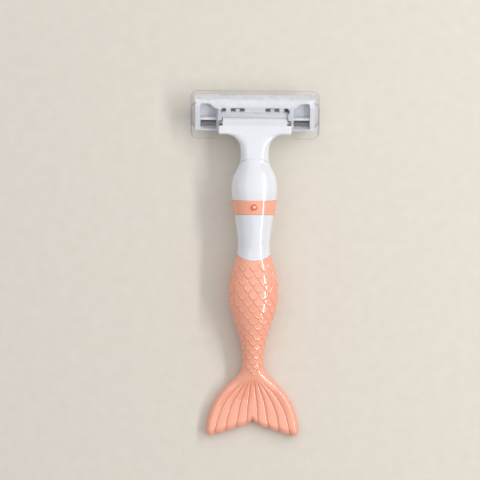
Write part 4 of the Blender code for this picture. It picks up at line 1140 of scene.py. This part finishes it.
def insert(name, look, x, spans, narrowing=0.0):
    """A small block seen through the housing's openings; narrowing is off its foot at each side."""
    v, w = spans
    outline = [(x[0] + narrowing, v[0]), (x[1] - narrowing, v[0])] + rectangle(x, v)[2:]
    obj = prism(name, outline, *w)
    obj.data.materials.append(look)
    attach(obj, "cartridge")


def recess_cutter(side):
    near, far = (side * x for x in RECESS_X)
    low, high = RECESS_V
    slanted = [(near + side * RECESS_SLANT[0], high), (near, high - RECESS_SLANT[1])]
    outline = rounded([(near, low), (far, low), (far, high)] + slanted, RECESS_CORNERS, 4)
    return prism("cutter", outline, RECESS_FLOOR, ABOVE_ALL)


def housing_blank():
    """The housing's rounded section from end to end, hollow under its back."""
    edge = CARTRIDGE_EDGE
    section = rounded(rectangle((-edge, edge), (0, -END_WALL_DEPTH)), HOUSING_CORNERS)
    housing = prism("cartridge_body", section, -CARTRIDGE_HALF, CARTRIDGE_HALF, "X")
    inner = both(CARTRIDGE_HALF - END_THICKNESS)
    carve(housing, [
        box_cutter(inner, (-edge + HOLLOW_LOW, edge - HOLLOW_HIGH), (BELOW_ALL, HOLLOW_W)),
        box_cutter(inner, (-edge - OVERRUN, -edge + GUARD_STEP), (BELOW_ALL, GUARD_STEP_W)),
    ])
    return housing


def housing_cuts():
    """Channel, undercut, pocket, windows, recesses with their slots, and rinse holes."""
    cuts = [
        box_cutter(both(CHANNEL_HALF), *CHANNEL),
        box_cutter(both(CHANNEL_HALF), *UNDERCUT),
        box_cutter(both(CHANNEL_HALF + POCKET_WIDTH), *POCKET),
    ]
    for side in (-1, 1):
        cuts += [box_cutter(about(side * middle, half), *WINDOW) for middle, half in WINDOWS]
        cuts += [recess_cutter(side), box_cutter(on_side(side, RECESS_X, SLOT_INSET), *SLOT)]
    for group in (-1, 0, 1):
        for hole in (-1, 0, 1):
            middle = group * RINSE_GROUP + hole * RINSE_SPACING
            cuts.append(box_cutter(about(middle, RINSE_HALF), *RINSE))
    return cuts


def add_inserts():
    """A dark back that paints the shade behind the windows where the blade stack lies, and on each side a
    clip, a tab in the window, a dark pane that paints the side window's shade and a dark block that paints
    the shade in the slot.
    """
    # A dark block behind the windows that paints their shade where the blade stack lies
    insert("stack_back_shade", SPACER_AND_PAINTED_SHADE, both(CHANNEL_HALF - STACK_GAP), STACK)
    for side, place in ((-1, "left"), (1, "right")):
        x = on_side(side, RECESS_X, INSERT_INSET)
        window, side_window = (side * middle for middle, _ in WINDOWS)
        tab_x = about(window, TAB_HALF)
        insert(f"end_clip_{place}", CLIP_STEEL, x, CLIP)
        insert(f"window_tab_{place}", SHADED_CARTRIDGE_WHITE, tab_x, TAB, TAB_NARROWING)
        # A dark pane that paints the shade in the side window
        insert(f"end_window_shade_{place}", SPACER_AND_PAINTED_SHADE, about(side_window, PANE_HALF), PANE)
        # A dark block that paints the shade in the slot
        insert(f"end_slot_shade_{place}", SPACER_AND_PAINTED_SHADE, x, SLOT_SHADE_BLOCK)


def make_housing():
    housing = housing_blank()
    block_x = (CHANNEL_HALF, CHANNEL_HALF + BLOCK_WIDTH)
    blocks = [box_cutter(on_side(side, block_x), *BLOCK) for side in (-1, 1)]
    carve(housing, [box_cutter(both(CHANNEL_HALF + BAR_OVERLAP), *BAR)] + blocks, "UNION")
    carve(housing, housing_cuts())
    ribs = [box_cutter(on_side(side, RECESS_X, RIB_INSET), *RIB) for side in (-1, 1)]
    carve(housing, ribs + [box_cutter(both(CHANNEL_HALF), *LIP)], "UNION")
    soften(housing, HOUSING_SOFTENING, 2)
    add_inserts()
    sharp = radians(50)
    finish_piece(housing, SHADED_CARTRIDGE_WHITE, "cartridge", "cartridge_housing", sharp)


# The cover: its corners and bends, and its open back with legs beside the razor's head

COVER_CORNER = 2.5
COVER_INNER_CORNER = 1.7
COVER_BEND = 0.7
COVER_SOFTENING = 0.3
NOTCH_HALF = 13.2
NOTCH_TOP = 4.9
LEG_CORNER = 2.4
LEG_STEPS = 8

# The cover's straight upper back edge, whose bend stays plain: its inset at the ends, least W and Y
PLAIN_INSET = 2.45
PLAIN_W = 0.8
PLAIN_Y = BACK_Y + 4.2

# How much of a bend's turn stays plain, and from where it is marked in full
BEND_MARKS = (0.1, 0.5)


def mark_roundings(cover):
    """Sets the attribute "rounded", which places the clear look's painted bend tint: 0 on the cover's walls,
    1 halfway round a bend between them.
    """
    out = np.array(CARTRIDGE.to_3x3().col[2])
    normals = np.array([normal.vector for normal in cover.data.vertex_normals], dtype=np.float32)
    lean = (normals @ out) ** 2
    places = np.array([vertex.co for vertex in cover.data.vertices], dtype=np.float32) / MM
    straight = np.abs(places[:, 0]) < COVER_HALF - PLAIN_INSET
    back = (places - np.array(CARTRIDGE.translation)) @ out > PLAIN_W
    plain = straight & back & (places[:, 1] > PLAIN_Y)
    set_attribute(cover, "rounded", np.where(plain, 0, smooth_step(*BEND_MARKS, 4 * lean * (1 - lean))))


def cover_opening():
    """The opening in the cover's back, with a rounded corner at each leg."""
    outer = -NOTCH_HALF - LEG_CORNER
    corner_v = -COVER_SKIRT + LEG_CORNER
    turns = turns_to(pi / 2, LEG_STEPS)
    left = [(outer, -COVER_SKIRT - OVERRUN)]
    left += [(outer + LEG_CORNER * sin(turn), corner_v - LEG_CORNER * cos(turn)) for turn in turns]
    left += [(-NOTCH_HALF, NOTCH_TOP)]
    return left + [(-x, v) for x, v in reversed(left)]


def make_cover():
    half, wall = COVER_HALF, COVER_WALL
    outline = rounded(rectangle(both(half), (-COVER_SKIRT, COVER_TOP)), [COVER_CORNER] * 4)
    cover = prism("clear_cover", outline, -COVER_FACE_DEPTH, COVER_BACK_RISE)
    soften(cover, COVER_BEND, 4, angle=radians(60))
    inside = rectangle(both(half - wall), (-COVER_SKIRT - 3 * OVERRUN, COVER_TOP - wall))
    inside = rounded(inside, [0, 0, COVER_INNER_CORNER, COVER_INNER_CORNER])
    carve(cover, [
        prism("cutter", inside, -COVER_FACE_DEPTH + wall, COVER_BACK_RISE - wall),
        prism("cutter", cover_opening(), 0, COVER_BACK_RISE + OVERRUN),
    ])
    soften(cover, COVER_SOFTENING, 3)
    mark_roundings(cover)
    cover.visible_shadow = False
    finish_piece(cover, CLEAR, "cover", "blade_cover", sharp=radians(50))


def dress(name, look, width=0.0):
    """A look for a node of the frame, with bevelled edges if a width is given."""
    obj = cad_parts[name]
    obj.data.materials.clear()
    obj.data.materials.append(look)
    if width:
        bevel(obj, width, 2)


# Floor, light and camera, with places and sizes in metres

FLOOR_Z = -0.00002
FLOOR_HALF = 0.6
FLOOR_GRAIN = 1200
FLOOR_GRAIN_DEPTH = 0.00003
FLOOR_COLOURS = ((0.74, 0.685, 0.605), (0.77, 0.715, 0.635))
SKY_COLOUR = (0.96, 0.975, 1.0)
SKY_STRENGTH = 0.42

# The photo's side and the razor's middle in pixels, a pixel's size, and the razor's roll
PHOTO_SIDE = 480
MIDDLE_PIXEL = (253.7, 263.3)
PIXEL = 0.352
ROLL = radians(0.5)
SENSOR = 36
LENS = 250
FOCUS_Z = 0.008


def make_floor():
    bm = bmesh.new()
    bmesh.ops.create_grid(bm, x_segments=4, y_segments=4, size=FLOOR_HALF / MM)
    floor = object_from(bm, "floor")
    floor.location.z = FLOOR_Z
    look, tree, shader, coords = new_material("floor_card")
    shade = colour_mix(tree, ranged(tree, noise(tree, coords, 260, 5), 0, 1), *FLOOR_COLOURS)
    tree.links.new(shade, shader.inputs["Base Color"])
    set_inputs(shader, {"Roughness": 0.8, "Specular IOR Level": 0.2})
    add_bump(tree, shader, noise(tree, coords, FLOOR_GRAIN, 3), 0.1, FLOOR_GRAIN_DEPTH)
    floor.data.materials.append(look)


def area(name, place, target, size, power):
    lamp = bpy.data.lights.new(name, "AREA")
    lamp.shape = "RECTANGLE"
    lamp.size, lamp.size_y = size
    lamp.energy = power
    obj = linked(name, lamp)
    obj.location = place
    obj.rotation_euler = (Vector(target) - Vector(place)).to_track_quat("-Z", "Y").to_euler()


def make_sky():
    world = bpy.data.worlds.new("studio")
    bpy.context.scene.world = world
    world.use_nodes = True
    set_inputs(world.node_tree.nodes["Background"], {"Color": (*SKY_COLOUR, 1), "Strength": SKY_STRENGTH})


def make_camera():
    """A camera straight over the photo's middle, far enough for a pixel to be PIXEL wide."""
    lens = bpy.data.cameras.new("camera")
    lens.lens = LENS
    lens.sensor_width = SENSOR
    eye = linked("camera", lens)
    distance = PHOTO_SIDE * PIXEL * MM * LENS / SENSOR
    turn = Matrix.Rotation(ROLL, 4, "Z")
    right = (PHOTO_SIDE / 2 - MIDDLE_PIXEL[0]) * PIXEL * MM
    up = (MIDDLE_PIXEL[1] - PHOTO_SIDE / 2) * PIXEL * MM
    place = turn @ Vector((right, up, distance + FOCUS_Z))
    eye.matrix_world = Matrix.Translation(place) @ turn
    bpy.context.scene.camera = eye


tail_shell("tail_front_moulding", "tail_front", side=1, rows=380)
tail_shell("tail_back_moulding", "tail_back", side=-1, rows=90)
torso_shell("torso_front_moulding", "torso_front", side=1)
torso_shell("torso_back_moulding", "torso_back", side=-1)
make_belt()
make_jewel()
make_head()
make_housing()
make_cover()
dress("return_spring", SPRING_WHITE, width=0.06)
dress("pivot_pin", PIN_STEEL)
dress("guard_fins", RUBBER)
dress("seat_blade", BLADE_STEEL)
dress("cap_blade", BLADE_STEEL)
dress("blade_spacer", SPACER_AND_PAINTED_SHADE)
dress("cartridge_cap", CAP_WHITE)
dress("lubricating_strip", STRIP, width=0.1)
for number in (1, 2, 3):
    dress(f"blade_rivet_{number}", BLADE_STEEL)

make_floor()
area("key", place=(0.08, 0.38, 0.86), target=(0, 0, 0), size=(1.60, 1.60), power=5.75)
area("strip", place=(0.41, 0.1, 0.43), target=(0, 0.1, 0), size=(0.80, 0.05), power=1.8)
make_sky()
bpy.context.scene.view_settings.view_transform = "Standard"
make_camera()
